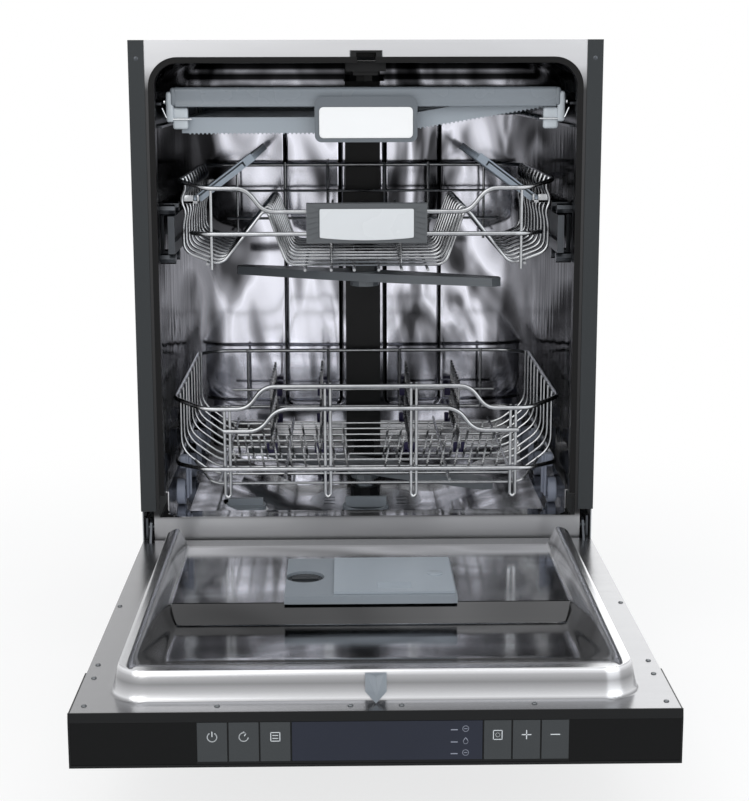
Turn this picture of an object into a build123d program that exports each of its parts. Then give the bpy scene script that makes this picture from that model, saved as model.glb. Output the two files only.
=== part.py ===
from build123d import *
import math
import os

# Built-in dishwasher with its controls on the top edge of the door, modelled with the door
# open on its stop and both baskets and the cutlery tray pushed home.
# Every function below works in the machine's own frame: x to the right as the user faces it,
# y into the machine from the front plane, z up from the floor. The parts are moved along y
# as they are written, so that the origin is the middle of the floor that the open machine covers.

# Overall sizes
width = 598.0
height = 815.0
body_depth = 510.0
door_reach = 620.0
drain_spigot = 22.0
door_top_z = 168.0
door_thickness = 55.8

# Clearances that tie neighbouring pieces together
seat_gap = 0.3
running_gap = 0.5
shaft_gap = 0.05
cut_margin = 5.0

# Sheet thicknesses
tub_sheet = 1.2
casing_sheet = 1.2
door_sheet = 1.0
plastic_wall = 3.0

# Hinge axis: the door's flange stops this far in front of the cabinet when it is shut
hinge_y = 10.5
door_shut_gap = 3.0
hinge_z = door_top_z + hinge_y + door_shut_gap
hinge_pin_radius = 4.0

# Tub
tub_half = 272.0
tub_top = 788.0
tub_back_y = 480.0
tub_corner = 34.0
seam_z = 228.0
frame_opening_half = 275.0
frame_opening_top = 794.0
frame_corner = 37.0
sill_z = 197.5
sill_bottom_z = 156.0
strip_width = 20.0
strip_bottom_z = 206.0
frame_foot_half = 282.0
gasket_back_y = 17.9
gasket_thickness = 7.5
rail_z = 198.0
rail_inner_half = 238.0
pocket_half = 266.0
pocket_front = 2.4
pocket_back = 478.0
funnel_z = 168.0
well_z = 156.0
well_radius = 80.0
well_y = 200.0
spray_y = 238.0

# Base
base_bottom = 20.0
base_top = 146.0
toe_kick = 52.0

# Feed duct on the back wall
duct_half = 27.0
duct_depth = 18.0
dock_z = 566.0
dock_half = 31.0
dock_depth = 16.0

# Door
door_half = 296.0
rim_half = 265.0
rim_height = 30.0
rim_front_y = -593.0
rim_back_y = -40.0
rim_corner = 40.0
rim_width = 22.0
platform_drop = 28.0
recess_depth = 48.0

# Control strip
button_height = 40.0
button_travel = 1.0
rib = 1.6
left_button_width = 29.0
right_button_width = 26.4
bank_left = -173.6
display_width = 184.7
buttons_per_side = 3

# Wires
rim_wire = 6.0
basket_wire = 4.0
tine_wire = 3.2

# Lower basket
lower_half = 257.0
lower_front = 16.0
lower_back = 452.0
lower_rim_z = 347.0
lower_floor_z = 236.5
lower_frame_z = 257.5
wheel_radius = 17.5
wheel_width = 12.0
axle_radius = 5.0
wheel_x = 251.5
wheel_places = (68.0, 226.0, 401.0)

# Upper basket
upper_half = 244.0
upper_front = 6.0
upper_back = 438.0
upper_rim_z = 637.0
upper_floor_z = 526.5
upper_ridge_z = 602.0
upper_arm_z = 484.0
upper_arm_radius = 205.0
shelf_angle = 37.0

# Cutlery tray
tray_half = 251.5
tray_front = 34.0
tray_back = 450.0
tray_top = 756.5
tray_tilt = 9.4

origin_shift = (door_reach - body_depth - drain_spigot) / 2


def block(x0, x1, y0, y1, z0, z1):
    size = Box(x1 - x0, y1 - y0, z1 - z0)
    return Pos((x0 + x1) / 2, (y0 + y1) / 2, (z0 + z1) / 2) * size


def rod(radius, start, end):
    line = Vector(*end) - Vector(*start)
    return extrude(Plane(origin=start, z_dir=line) * Circle(radius), line.length)


def prism(sides, radius, start, end):
    """A straight housing of regular section, for round pieces that stay out of sight."""
    line = Vector(*end) - Vector(*start)
    outline = RegularPolygon(radius, sides, major_radius=False)
    return extrude(Plane(origin=start, z_dir=line) * outline, line.length)


def tube(outer, inner, start, end):
    line = Vector(*end) - Vector(*start)
    ring = Circle(outer) - Circle(inner)
    return extrude(Plane(origin=start, z_dir=line) * ring, line.length)


def slab(half_x, y0, y1, z0, z1, radius, x_mid=0.0):
    outline = RectangleRounded(2 * half_x, y1 - y0, radius)
    return extrude(Pos(x_mid, (y0 + y1) / 2, z0) * outline, z1 - z0)


def arch(half, top, bottom, radius, y0, y1):
    face = Plane.XZ.offset(-y1) * Pos(0, (top + bottom) / 2) * Rectangle(2 * half, top - bottom)
    face = fillet(face.vertices().group_by(Axis.Z)[-1], radius)
    return extrude(face, y1 - y0)


def profile_x(points, x0, x1):
    outline = Plane.YZ.offset(x0) * make_face(Polyline(*points, close=True))
    return extrude(outline, x1 - x0)


def profile_y(points, y0, y1):
    outline = Plane.XZ.offset(-y1) * make_face(Polyline(*points, close=True))
    return extrude(outline, y1 - y0)


def both_sides(shape):
    return [shape, mirror(shape, about=Plane.YZ)]


def solids_of(*shapes):
    found = []
    for shape in shapes:
        if isinstance(shape, (list, tuple)):
            found.extend(solids_of(*shape))
        else:
            found.extend(shape.solids())
    return found


def joined(shapes):
    total = shapes[0]
    for shape in shapes[1:]:
        total = total + shape
    return total


def ruled_solid(start, end):
    count = len(start)
    faces = [Face(Wire.make_polygon(start)), Face(Wire.make_polygon(end))]
    for i in range(count):
        j = (i + 1) % count
        faces.append(Face(Wire.make_polygon([start[i], start[j], end[j], end[i]])))
    return Solid(Shell(faces))


def bent_wire(points, across, facing, closed=False, sides=6):
    """A wire with flat sides, across is its width from flat to flat, with a mitre at each bend.
    facing is the way one flat of the first run looks."""
    spots = [Vector(*p) for p in points]
    if closed:
        spots.append(spots[0])
    runs = [(b - a).normalized() for a, b in zip(spots, spots[1:])]
    first = runs[0]
    flat = Vector(*facing)
    flat = (flat - first * flat.dot(first)).normalized()
    side = first.cross(flat)
    corner_radius = across / 2 / math.cos(math.pi / sides)
    ring = []
    for i in range(sides):
        angle = (2 * i + 1) * math.pi / sides
        ring.append(spots[0] + flat * corner_radius * math.cos(angle)
                    + side * corner_radius * math.sin(angle))

    def carried(ring_in, direction, spot, normal):
        return [v + direction * ((spot - v).dot(normal) / direction.dot(normal)) for v in ring_in]

    if closed:
        ring = carried(ring, first, spots[0], runs[-1] + first)
    made = []
    for i, direction in enumerate(runs):
        if i + 1 < len(runs):
            normal = direction + runs[i + 1]
        elif closed:
            normal = direction + first
        else:
            normal = direction
        following = carried(ring, direction, spots[i + 1], normal)
        made.append(ruled_solid(ring, following))
        ring = following
    return made


# Cabinet

def tub_wrap():
    outer = arch(tub_half + tub_sheet, tub_top + tub_sheet, seam_z, tub_corner + tub_sheet,
                 gasket_back_y, tub_back_y)
    lip = arch(frame_opening_half, frame_opening_top, seam_z, frame_corner, gasket_back_y,
               gasket_back_y + tub_sheet)
    inner = arch(tub_half, tub_top, seam_z - cut_margin, tub_corner,
                 gasket_back_y - cut_margin, tub_back_y + cut_margin)
    striker_way = block(-latch_half, latch_half, gasket_back_y - 1, gasket_back_y + 3, tub_top - 1,
                        frame_opening_top + 1)
    return outer + lip - inner - striker_way


def tub_back():
    sheet = arch(tub_half + tub_sheet, tub_top + tub_sheet, seam_z, tub_corner + tub_sheet,
                 tub_back_y, tub_back_y + tub_sheet)
    panel_bottom = seam_z + 24
    panel_top = tub_top - 24
    panel_relief = 2.0
    panel_inner = 33.0
    panel_outer = 122.0
    panel_half = (panel_outer - panel_inner) / 2
    panel_corner = 12.0
    outline = Rectangle(2 * panel_half, panel_top - panel_bottom)
    outline = chamfer(outline.vertices(), panel_corner)
    for side in (-1, 1):
        middle = side * (panel_inner + panel_half)
        place = Plane.XZ.offset(-tub_back_y) * Pos(middle, (panel_top + panel_bottom) / 2)
        sheet = sheet + extrude(place * outline, panel_relief)
    return sheet


def level_corners(half_x, y0, y1, z):
    return [Vector(-half_x, y0, z), Vector(half_x, y0, z), Vector(half_x, y1, z), Vector(-half_x, y1, z)]


def basin(grow):
    """The hollow of the tub floor, grown outward all round by the given amount."""
    corner = 26.0 + grow
    pocket = slab(pocket_half + grow, pocket_front - grow, pocket_back + grow, rail_z - grow,
                  seam_z + cut_margin, corner)
    reach = 94.0 + grow
    low = level_corners(100.0 + grow, well_y - reach, well_y + reach, funnel_z - grow)
    top = level_corners(rail_inner_half + grow, 32.0 - grow, 446.0 + grow, rail_z - grow)
    well = prism(20, well_radius + grow, (0, well_y, well_z - grow), (0, well_y, funnel_z))
    return pocket + ruled_solid(low, top) + well


salt_x, salt_y = -168.0, 118.0
salt_neck_radius = 31.0
salt_neck_top = 178.0


def tub_floor():
    """The pressed floor up to the ledges that the basket rolls on, and the upright wall around it."""
    sheet = basin(tub_sheet) - basin(0)
    ring = block(-tub_half - tub_sheet, tub_half + tub_sheet, gasket_back_y, tub_back_y + tub_sheet,
                 seam_z - tub_sheet, seam_z)
    ring = ring - slab(pocket_half, -cut_margin, pocket_back, seam_z - 2 * tub_sheet, seam_z + cut_margin,
                       26.0)
    front_cut = gasket_back_y
    window = block(-width / 2, width / 2, -cut_margin, front_cut, rail_z, height)
    top_cut = block(-width / 2, width / 2, -cut_margin, body_depth, seam_z, height)
    well_hole = prism(20, well_radius, (0, well_y, well_z - 3 * tub_sheet), (0, well_y, well_z + 1))
    salt_hole = prism(16, salt_neck_radius, (salt_x, salt_y, funnel_z - 3), (salt_x, salt_y, rail_z + 1))
    whole = sheet + ring - window - top_cut - well_hole - salt_hole
    wall_zone = block(-width / 2, width / 2, -cut_margin, body_depth, rail_z, height)
    return [whole - wall_zone, whole & wall_zone]


latch_half = 21.0
latch_notch_top = 802.0


def front_frame():
    outer_half = width / 2 - casing_sheet
    points = [(-outer_half, height), (outer_half, height), (outer_half, strip_bottom_z),
              (frame_foot_half, strip_bottom_z), (frame_foot_half, sill_bottom_z),
              (-frame_foot_half, sill_bottom_z), (-frame_foot_half, strip_bottom_z),
              (-outer_half, strip_bottom_z)]
    plate = profile_y(points, 0, casing_sheet)
    hole = arch(frame_opening_half, frame_opening_top, sill_z, frame_corner, -1, casing_sheet + 1)
    top_return_depth = 45.0
    foot_return_depth = 20.0
    edge_depth = 26.0
    edge = arch(frame_opening_half + casing_sheet, frame_opening_top + casing_sheet, seam_z,
                frame_corner + casing_sheet,
                casing_sheet / 2, edge_depth)
    edge = edge - arch(frame_opening_half, frame_opening_top, seam_z - 1, frame_corner, 0, edge_depth + 1)
    notch = block(-latch_half, latch_half, -1, edge_depth + 1, frame_opening_top - frame_corner,
                  latch_notch_top)
    top_return = block(-outer_half, outer_half, 0, top_return_depth, height - casing_sheet, height)
    foot_return = block(-frame_foot_half, frame_foot_half, 0, foot_return_depth, sill_bottom_z,
                        sill_bottom_z + casing_sheet)
    return plate - hole + edge - notch + top_return + foot_return


striker_half = 10.5
striker_reach = 8.5


def door_gasket():
    outer_half = frame_opening_half
    outer_top = frame_opening_top
    front = 0.5
    bottom = seam_z - tub_sheet
    corner_ease = 0.6
    ring = arch(outer_half, outer_top, bottom, frame_corner + corner_ease, front, gasket_back_y)
    hole = arch(outer_half - gasket_thickness, outer_top - gasket_thickness, bottom - 1,
                frame_corner - gasket_thickness,
                front - 1, gasket_back_y + 1)
    ring = ring - hole
    # The striker dips into the seal's top edge when the door shuts, through this sloped notch.
    clear = 1.2
    shut_top = hinge_z + hinge_y - rim_front_y
    notch = [(front - 1, shut_top - 2), (gasket_back_y + 2, shut_top - 2),
             (gasket_back_y + 2, shut_top + striker_reach / 2 - 0.6),
             (front - 1, shut_top + striker_reach + clear)]
    return ring - profile_x(notch, -striker_half - clear, striker_half + clear)


strip_hole_radius = 2.2
strip_hole_z = 792.0


def side_strips():
    outer = width / 2
    face = block(outer - strip_width, outer, -1.5, 0, strip_bottom_z, height)
    wrap = block(outer - casing_sheet, outer, 0, 25, strip_bottom_z, height)
    hole_x = outer - strip_width / 2
    screw_hole = rod(strip_hole_radius, (hole_x, -3, strip_hole_z), (hole_x, 1, strip_hole_z))
    return both_sides(face + wrap - screw_hole)


panel_outer_x = width / 2 - casing_sheet
panel_inner_x = panel_outer_x - casing_sheet
base_half = panel_inner_x
base_rear = body_depth - casing_sheet
base_deck = base_bottom + plastic_wall


def outer_casing():
    bottom = base_bottom + 5
    top = height - casing_sheet
    return_width = 22.0
    panel = block(panel_inner_x, panel_outer_x, casing_sheet, body_depth, bottom, top)
    rear_return = block(panel_outer_x - return_width, panel_outer_x, base_rear, body_depth, bottom, top)
    bar_depth = 40.0
    bar_drop = 17.0
    bar = block(-base_half, base_half, base_rear - bar_depth, base_rear, top - bar_drop, top)
    bar = bar - block(-base_half - 1, base_half + 1, base_rear - bar_depth + casing_sheet,
                      base_rear - casing_sheet,
                      top - bar_drop - 1, top - casing_sheet)
    return both_sides(panel + rear_return) + [bar]


foot_x = 262.0
foot_front_y = 74.0
foot_rear_y = 488.0
foot_stem = 6.0


def feet_places():
    return [(x, y) for x in (-foot_x, foot_x) for y in (foot_front_y, foot_rear_y)]


def base_tray():
    shell = block(-base_half, base_half, toe_kick, base_rear, base_bottom, base_top)
    shell = shell - block(-base_half + plastic_wall, base_half - plastic_wall, toe_kick + plastic_wall,
                          base_rear - plastic_wall, base_deck, base_top + 1)
    boss = 11.0
    for x, y in feet_places():
        shell = shell + block(x - boss, x + boss, y - boss, y + boss, base_bottom, base_bottom + 26)
        shell = shell - prism(8, foot_stem + seat_gap, (x, y, base_bottom - 1), (x, y, base_bottom + 22))
    post_half = 9.0
    post_x = (rail_inner_half + pocket_half) / 2
    for x in (-post_x, post_x):
        for y in (112.0, 430.0):
            shell = shell + block(x - post_half, x + post_half, y - post_half, y + post_half,
                                  base_bottom + 1, rail_z - tub_sheet)
    ribs = 5
    pitch = 2 * (base_half - 60) / (ribs - 1)
    for i in range(ribs):
        x = -base_half + 60 + i * pitch
        shell = shell + block(x - 1.5, x + 1.5, toe_kick - 8, toe_kick, base_bottom, base_top)
    for x, z, radius in ((drain_x, drain_z, drain_pipe), (inlet_x, inlet_z, inlet_neck),
                         (gland_x, gland_z, gland_radius)):
        shell = shell - prism(8, radius + running_gap, (x, base_rear - 10, z), (x, base_rear + 10, z))
    return shell


def levelling_feet():
    feet = []
    pad_radius = 22.0
    pad_height = 9.0
    for x, y in feet_places():
        pad = prism(10, pad_radius, (x, y, 0), (x, y, pad_height))
        nut = prism(6, 10, (x, y, pad_height), (x, y, base_bottom))
        stem = prism(8, foot_stem, (x, y, 1), (x, y, base_bottom + 20))
        feet.append(pad + nut + stem)
    return feet


def counterweight():
    return block(-168, -50, 400, 494, base_deck, base_deck + 44)


arm_x = 286.5
arm_sheet = 3.0
bracket_sheet = 3.0


def hinge_brackets():
    outer = base_half - plastic_wall
    inner = outer - bracket_sheet
    side = profile_x([(toe_kick + 4, base_deck), (150, base_deck), (150, base_top - 20), (60, hinge_z + 14),
                      (hinge_y - 7, hinge_z + 14), (hinge_y - 7, hinge_z - 14), (toe_kick + 4, base_top + 6)],
                     inner, outer)
    pin = rod(hinge_pin_radius, (inner + 0.1, hinge_y, hinge_z),
              (arm_x - arm_sheet / 2 - 2, hinge_y, hinge_z))
    return both_sides(side + pin)


def hinge_springs():
    """Door balance springs: hidden, so each is the plain outside of its coil with its hooks and lugs."""
    x = base_half - plastic_wall - bracket_sheet - 14
    z = base_bottom + 46
    start = 170.0
    coil = 150.0
    spring = prism(8, 8, (x, start, z), (x, start + coil, z))
    hooks = prism(4, 2, (x, start - 16, z), (x, start + coil + 26, z))
    shape = spring + hooks
    for y in (start - 20, start + coil + 30):
        shape = shape + block(x - 6, x + 6, y - 5, y + 5, base_deck, z + 8)
    return both_sides(shape)


spray_hub_z = 194.0
hub_spigot = 8.5
feed_radius = 12.0
filter_y = 163.0
filter_radius = 30.0
pump_z = 92.0
sump_port = well_radius + 4
filter_deck_z = funnel_z - 1.5


def sump():
    wall = 3.0
    outer = well_radius - seat_gap
    bottom = 70.0
    bowl = prism(20, outer, (0, well_y, bottom), (0, well_y, filter_deck_z))
    side_port = block(outer - 12, sump_port, well_y - 17, well_y + 17, pump_z - 17, pump_z + 17)
    back_port = block(-17, 17, well_y + outer - 12, well_y + sump_port, pump_z - 17, pump_z + 17)
    hollow = prism(16, outer - wall, (0, well_y, bottom + wall), (0, well_y, filter_deck_z + 1))
    flange_z = well_z - tub_sheet
    flange = prism(16, well_radius + 12, (0, well_y, flange_z - 4), (0, well_y, flange_z))
    feed = prism(8, feed_radius, (0, spray_y, bottom + 1), (0, spray_y, spray_hub_z - seat_gap))
    spigot = rod(hub_spigot, (0, spray_y, bottom + 1), (0, spray_y, spray_hub_z + 9))
    bore = prism(6, 6, (0, spray_y, bottom + wall), (0, spray_y, spray_hub_z + 10))
    return bowl + side_port + back_port + flange - hollow + (feed + spigot - bore)


def filter_plate():
    plate = prism(20, well_radius - seat_gap, (0, well_y, filter_deck_z), (0, well_y, funnel_z))
    plate = plate - prism(8, feed_radius + running_gap, (0, spray_y, filter_deck_z - 1),
                          (0, spray_y, funnel_z + 1))
    plate = plate - prism(16, filter_radius + running_gap, (0, filter_y, filter_deck_z - 1),
                          (0, filter_y, funnel_z + 1))
    slots = 3
    for side in (-1, 1):
        for i in range(slots):
            y = well_y - 18 + i * 18
            plate = plate - block(side * 52 - 8, side * 52 + 8, y - 2, y + 2, filter_deck_z - 1, funnel_z + 1)
    return plate


def filter_cup():
    lower = 96.0
    z = funnel_z + seat_gap
    barrel = filter_radius * math.cos(math.pi / 16)
    cup = prism(16, barrel, (0, filter_y, lower), (0, filter_y, z + 3))
    cup = cup + prism(16, barrel + 3, (0, filter_y, z), (0, filter_y, z + 3))
    cup = cup - prism(16, barrel - 2, (0, filter_y, lower + 2), (0, filter_y, z + 5))
    handle = block(-filter_radius + 1, filter_radius - 1, filter_y - 2.5, filter_y + 2.5, z, z + 15)
    return cup + handle


def circulation_pump():
    start = sump_port
    inlet = prism(8, 15, (start, well_y, pump_z), (start + 36, well_y, pump_z))
    volute = prism(12, 40, (start + 36, well_y, pump_z), (start + 62, well_y, pump_z))
    heater = prism(12, 34, (start + 62, well_y, pump_z), (start + 88, well_y, pump_z))
    motor = prism(12, 29, (start + 88, well_y, pump_z), (start + 150, well_y, pump_z))
    saddle = block(start + 96, start + 142, well_y - 20, well_y + 20, base_deck, pump_z)
    return inlet + volute + heater + motor + saddle


drain_x = 16.0
drain_z = 100.0
drain_radius = 9.0
drain_end = body_depth + drain_spigot
drain_pipe = 7.8


def drain_pump():
    back = well_y + sump_port
    inlet = prism(8, 11, (0, back, pump_z), (0, back + 20, pump_z))
    body = prism(12, 24, (0, back + 20, pump_z), (0, back + 70, pump_z))
    saddle = block(-14, 14, back + 30, back + 60, base_deck, pump_z)
    pipe = prism(8, drain_pipe, (drain_x, back + 64, drain_z), (drain_x, body_depth + 1, drain_z))
    spigot = rod(drain_radius, (drain_x, body_depth, drain_z), (drain_x, drain_end, drain_z))
    bore = prism(8, drain_pipe - 2, (drain_x, back + 80, drain_z), (drain_x, drain_end + 1, drain_z))
    return inlet + body + saddle + pipe + spigot - bore


def water_softener():
    tank = block(salt_x - 70, salt_x + 52, salt_y - 50, salt_y + 160, base_deck, base_top - 6)
    neck = prism(16, salt_neck_radius - seat_gap, (salt_x, salt_y, base_top - 7),
                 (salt_x, salt_y, salt_neck_top))
    bore = prism(16, salt_neck_radius - 5, (salt_x, salt_y, base_deck + 30),
                 (salt_x, salt_y, salt_neck_top + 1))
    return tank + neck - bore


def salt_cap():
    z = salt_neck_top + seat_gap
    cap = prism(16, salt_neck_radius - 3, (salt_x, salt_y, z), (salt_x, salt_y, z + 6))
    grip = block(salt_x - 24, salt_x + 24, salt_y - 4, salt_y + 4, z + 6, z + 15)
    return cap + grip


inlet_x = 210.0
inlet_z = 92.0
inlet_thread = 13.0
inlet_neck = 9.0
inlet_end = body_depth + 20


def inlet_valve():
    inner = base_rear - plastic_wall
    body = block(inlet_x - 20, inlet_x + 20, inner - 60, inner, inlet_z - 24, inlet_z + 24)
    foot = block(inlet_x - 14, inlet_x + 14, inner - 50, inner - 20, base_deck, inlet_z)
    neck = prism(8, inlet_neck, (inlet_x, inner - 10, inlet_z), (inlet_x, body_depth + 3, inlet_z))
    thread = rod(inlet_thread, (inlet_x, body_depth + 2, inlet_z), (inlet_x, inlet_end, inlet_z))
    bore = prism(8, 7, (inlet_x, inner - 10, inlet_z), (inlet_x, inlet_end + 1, inlet_z))
    return body + foot + neck + thread - bore


gland_x = -210.0
gland_z = 92.0
gland_radius = 8.0


def power_inlet():
    inner = base_rear - plastic_wall
    box = block(gland_x - 30, gland_x + 30, inner - 40, inner, gland_z - 26, gland_z + 26)
    foot = block(gland_x - 20, gland_x + 20, inner - 38, inner - 20, base_deck, gland_z)
    gland = prism(8, gland_radius, (gland_x, inner - 10, gland_z), (gland_x, body_depth + 10, gland_z))
    bore = prism(8, 4.2, (gland_x, inner - 20, gland_z), (gland_x, body_depth + 11, gland_z))
    return box + foot + gland - bore


duct_front = tub_back_y - duct_depth


def feed_duct():
    riser = block(-duct_half, duct_half, duct_front, tub_back_y, seam_z, tub_top)
    root = block(-duct_half, duct_half, duct_front, pocket_back, rail_z, seam_z)
    dock = block(-dock_half, dock_half, duct_front - dock_depth, duct_front + 1, dock_z - 22, dock_z + 32)
    ring = prism(16, 15, (0, duct_front - dock_depth - 3, dock_z), (0, duct_front - dock_depth + 1, dock_z))
    bore = prism(12, 9, (0, duct_front - dock_depth - 4, dock_z), (0, duct_front + 6, dock_z))
    return riser + root + dock + ring - bore


def floor_duct():
    """The flat duct that carries water from the sump's feed tube to the riser."""
    top_z = rail_z + 5
    start = spray_y + 14
    slope = profile_x([(start, funnel_z + 3), (446, rail_z), (duct_front, rail_z), (duct_front, top_z),
                       (440, top_z), (start, funnel_z + 14)], -16, 16)
    collar = prism(10, 20, (0, spray_y, funnel_z), (0, spray_y, funnel_z + 14))
    passage = prism(8, feed_radius + seat_gap, (0, spray_y, funnel_z - 1), (0, spray_y, funnel_z + 15))
    return slope + collar - passage


def ceiling_duct():
    front = 62.0
    stem_half = 16.0
    beam = block(-stem_half, stem_half, front, duct_front, tub_top - 17, tub_top)
    cross = block(-26, 26, front - 14, front, tub_top - 12, tub_top)
    nozzle = prism(16, 28, (0, spray_y, tub_top - 25), (0, spray_y, tub_top - 16))
    return beam + cross + nozzle


def door_latch():
    body = block(-latch_half + 1, latch_half - 1, casing_sheet, 46, frame_opening_top, height - casing_sheet)
    slot = block(-striker_half - 2, striker_half + 2, casing_sheet - 1, 34, frame_opening_top - 2,
                 latch_notch_top - 2.5)
    return body - slot


rail_low = 705.0
rail_high = 737.0
slide_low = 543.0
slide_high = 592.0

slide_inner = 249.0
slide_outer = 257.5
slide_mid = (slide_low + slide_high) / 2
runner_start = 29.0
groove_half = 10.0
runner_web = 1.8
runner_wall = 3.0


def wall_runners():
    """Fixed runners on the side walls: a channel for the cutlery tray, rollers for the upper slides."""
    lip = 262.0
    end = 444.0
    channel = block(lip, tub_half, runner_start, end, rail_low, rail_high)
    channel = channel - block(lip - 1, tub_half - runner_web, runner_start - 1, end - 3,
                              rail_low + runner_wall, rail_high - runner_wall)
    pieces = both_sides(channel)
    roller_radius = 7.0
    for y in (44.0, 98.0):
        strap = block(tub_half - 3, tub_half, y - 6, y + 6, slide_low - 12, slide_high + 12)
        pieces.extend(both_sides(strap))
        for z in (slide_low - roller_radius - seat_gap, slide_high + roller_radius + seat_gap):
            roller = prism(8, roller_radius * math.cos(math.pi / 8), (slide_inner, y, z),
                           (tub_half - 3, y, z))
            pieces.extend(both_sides(roller))
    return pieces


def upper_slides():
    end = 440.0
    bar = block(slide_inner, slide_outer, runner_start, end, slide_low, slide_high)
    groove = block(slide_inner - 1, slide_outer - 2, runner_start + 4, end - 4, slide_mid - groove_half,
                   slide_mid + groove_half)
    return both_sides(bar - groove)


# Spray arms

def spray_arm(z, radius, hub_low, hub_high):
    thickness = 12.0
    root_half = 25.0
    tip_half = 13.0
    half_outline = [(radius - 8, -tip_half), (radius, 0), (radius - 8, tip_half), (60, root_half)]
    blade = make_face(Polyline((60, -root_half), *half_outline, (-60, root_half),
                               *[(-x, y) for x, y in reversed(half_outline[:3])], (-60, -root_half),
                               close=True))
    arm = extrude(Pos(0, 0, z) * blade, thickness)
    arm = arm + prism(12, 20, (0, 0, hub_low), (0, 0, hub_high))
    nozzles = 3
    for side in (-1, 1):
        for i in range(nozzles):
            x = side * (60 + i * (radius - 80) / (nozzles - 1))
            arm = arm - block(x - 3, x + 3, -1.5, 1.5, z + thickness - 2, z + thickness + 1)
    return arm


lower_arm_z = rail_z + 7


def lower_spray_arm():
    arm = spray_arm(lower_arm_z, 215.0, spray_hub_z, lower_arm_z + 12)
    arm = arm - rod(hub_spigot + shaft_gap, (0, 0, spray_hub_z - 1), (0, 0, spray_hub_z + 10))
    return Pos(0, spray_y, 0) * Rot(0, 0, -35.0) * arm


upper_hub_top = upper_arm_z + 13
upper_spigot = 8.0


def upper_spray_arm():
    arm = spray_arm(upper_arm_z, upper_arm_radius, upper_arm_z - 8, upper_hub_top)
    arm = arm - rod(upper_spigot + shaft_gap, (0, 0, upper_hub_top - 10), (0, 0, upper_hub_top + 1))
    return Pos(0, spray_y, 0) * Rot(0, 0, -24.0) * arm


def upper_feed_tube():
    """Runs under the upper basket from the dock to the spray arm's spigot."""
    under_floor = upper_floor_z - basket_wire * 1.5
    rear = duct_front - dock_depth - 3 - running_gap
    low_run = block(-19, 19, spray_y, rear - 16, under_floor - 14, under_floor)
    riser = block(-11, 11, rear - 38, rear - 16, under_floor - 14, dock_z + 11)
    mouth = prism(8, 10.5, (0, rear - 20, dock_z), (0, rear, dock_z))
    mouth = mouth - prism(8, 8, (0, rear - 10, dock_z), (0, rear + 1, dock_z))
    cup = prism(8, 18.4, (0, spray_y, upper_hub_top + seat_gap), (0, spray_y, under_floor))
    spigot = rod(upper_spigot, (0, spray_y, upper_hub_top - 8), (0, spray_y, upper_hub_top + seat_gap + 1))
    return low_run + riser + mouth + cup + spigot


# Door
recess_front = -429.0
recess_back = -304.0
recess_half = 226.0
liner_start = -8.0


def liner_form(grow):
    """Everything under the liner's inner face, with that face raised by the given amount."""
    top = door_top_z + grow
    rim_top = door_top_z + rim_height + grow
    under = door_top_z - 36
    flange = block(-door_half, door_half, -door_reach + fascia_lip, liner_start, under, top)
    rim = slab(rim_half + grow, rim_front_y - grow, rim_back_y + grow, under, rim_top, rim_corner + grow)
    inner_half = rim_half - rim_width - grow
    platform_top = platform_z + grow
    floor_top = door_top_z + rim_height - recess_depth + grow
    slope_start = recess_back - grow
    shelf_start = slope_start + platform_top - floor_top
    shelf = block(-inner_half, inner_half, shelf_start, rim_back_y + 20, platform_top, rim_top + cut_margin)
    low = level_corners(recess_half - grow, recess_front + grow, slope_start, floor_top)
    high = level_corners(inner_half, rim_front_y + 28 + grow, slope_start + rim_top - floor_top, rim_top)
    return flange + rim - shelf - ruled_solid(low, high)


dispenser_half = 100.5
dispenser_front = -290.0
dispenser_back = -134.0
platform_z = door_top_z + rim_height - platform_drop

fascia_depth = 20.0
fascia_lip = 3.0
arm_notch = 4.5


def door_liner():
    sheet = liner_form(0) - liner_form(-door_sheet)
    sheet = sheet - block(-width, width, -door_reach, 0, 0, door_top_z - 32)
    hole = block(-dispenser_half + 4, dispenser_half - 4, dispenser_front + 4, dispenser_back - 4,
                 platform_z - 5, platform_z + 5)
    for side in (-1, 1):
        sheet = sheet - block(side * arm_x - arm_notch, side * arm_x + arm_notch, -24, 0, 100, door_top_z + 1)
    return sheet - hole


door_bottom_z = door_top_z - door_thickness
outer_face_z = door_bottom_z + 0.4
panel_end_y = -4.0
fix_half_x = 240.0
fix_half_y = 190.0
fix_y = -310.0
fix_radius = 2.25


def door_outer_panel():
    top = door_top_z - door_sheet
    front = -door_reach + fascia_depth
    tray = block(-door_half, door_half, front, panel_end_y, outer_face_z, top)
    tray = tray - block(-door_half + door_sheet, door_half - door_sheet, front - 1, panel_end_y - door_sheet,
                        outer_face_z + door_sheet, top + 1)
    for side in (-1, 1):
        tray = tray - block(side * arm_x - arm_notch, side * arm_x + arm_notch, -12, 0, outer_face_z + 6,
                            top + 1)
        for y in (fix_y - fix_half_y, fix_y + fix_half_y):
            tray = tray - rod(fix_radius, (side * fix_half_x, y, outer_face_z - 1),
                              (side * fix_half_x, y, outer_face_z + 4))
    return tray


def hinge_arms():
    low = outer_face_z + 10
    high = door_top_z - 8
    reach = -220.0
    inner = arm_x - arm_sheet / 2
    plate = profile_x([(reach, low), (-14, low), (hinge_y + 6, hinge_z - 9), (hinge_y + 6, hinge_z),
                       (hinge_y - 9, hinge_z + 5),
                       (-14, high), (reach, high)], inner, inner + arm_sheet)
    knuckle = prism(8, 11, (inner, hinge_y, hinge_z), (inner + arm_sheet, hinge_y, hinge_z))
    hole = rod(hinge_pin_radius + shaft_gap, (inner - 1, hinge_y, hinge_z),
               (inner + arm_sheet + 1, hinge_y, hinge_z))
    flange = block(inner + arm_sheet, door_half - door_sheet, -200, -40, low, low + 3)
    return both_sides(plate + knuckle + flange - hole)


button_low = door_top_z - 50.0
button_top = button_low + button_height


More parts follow.
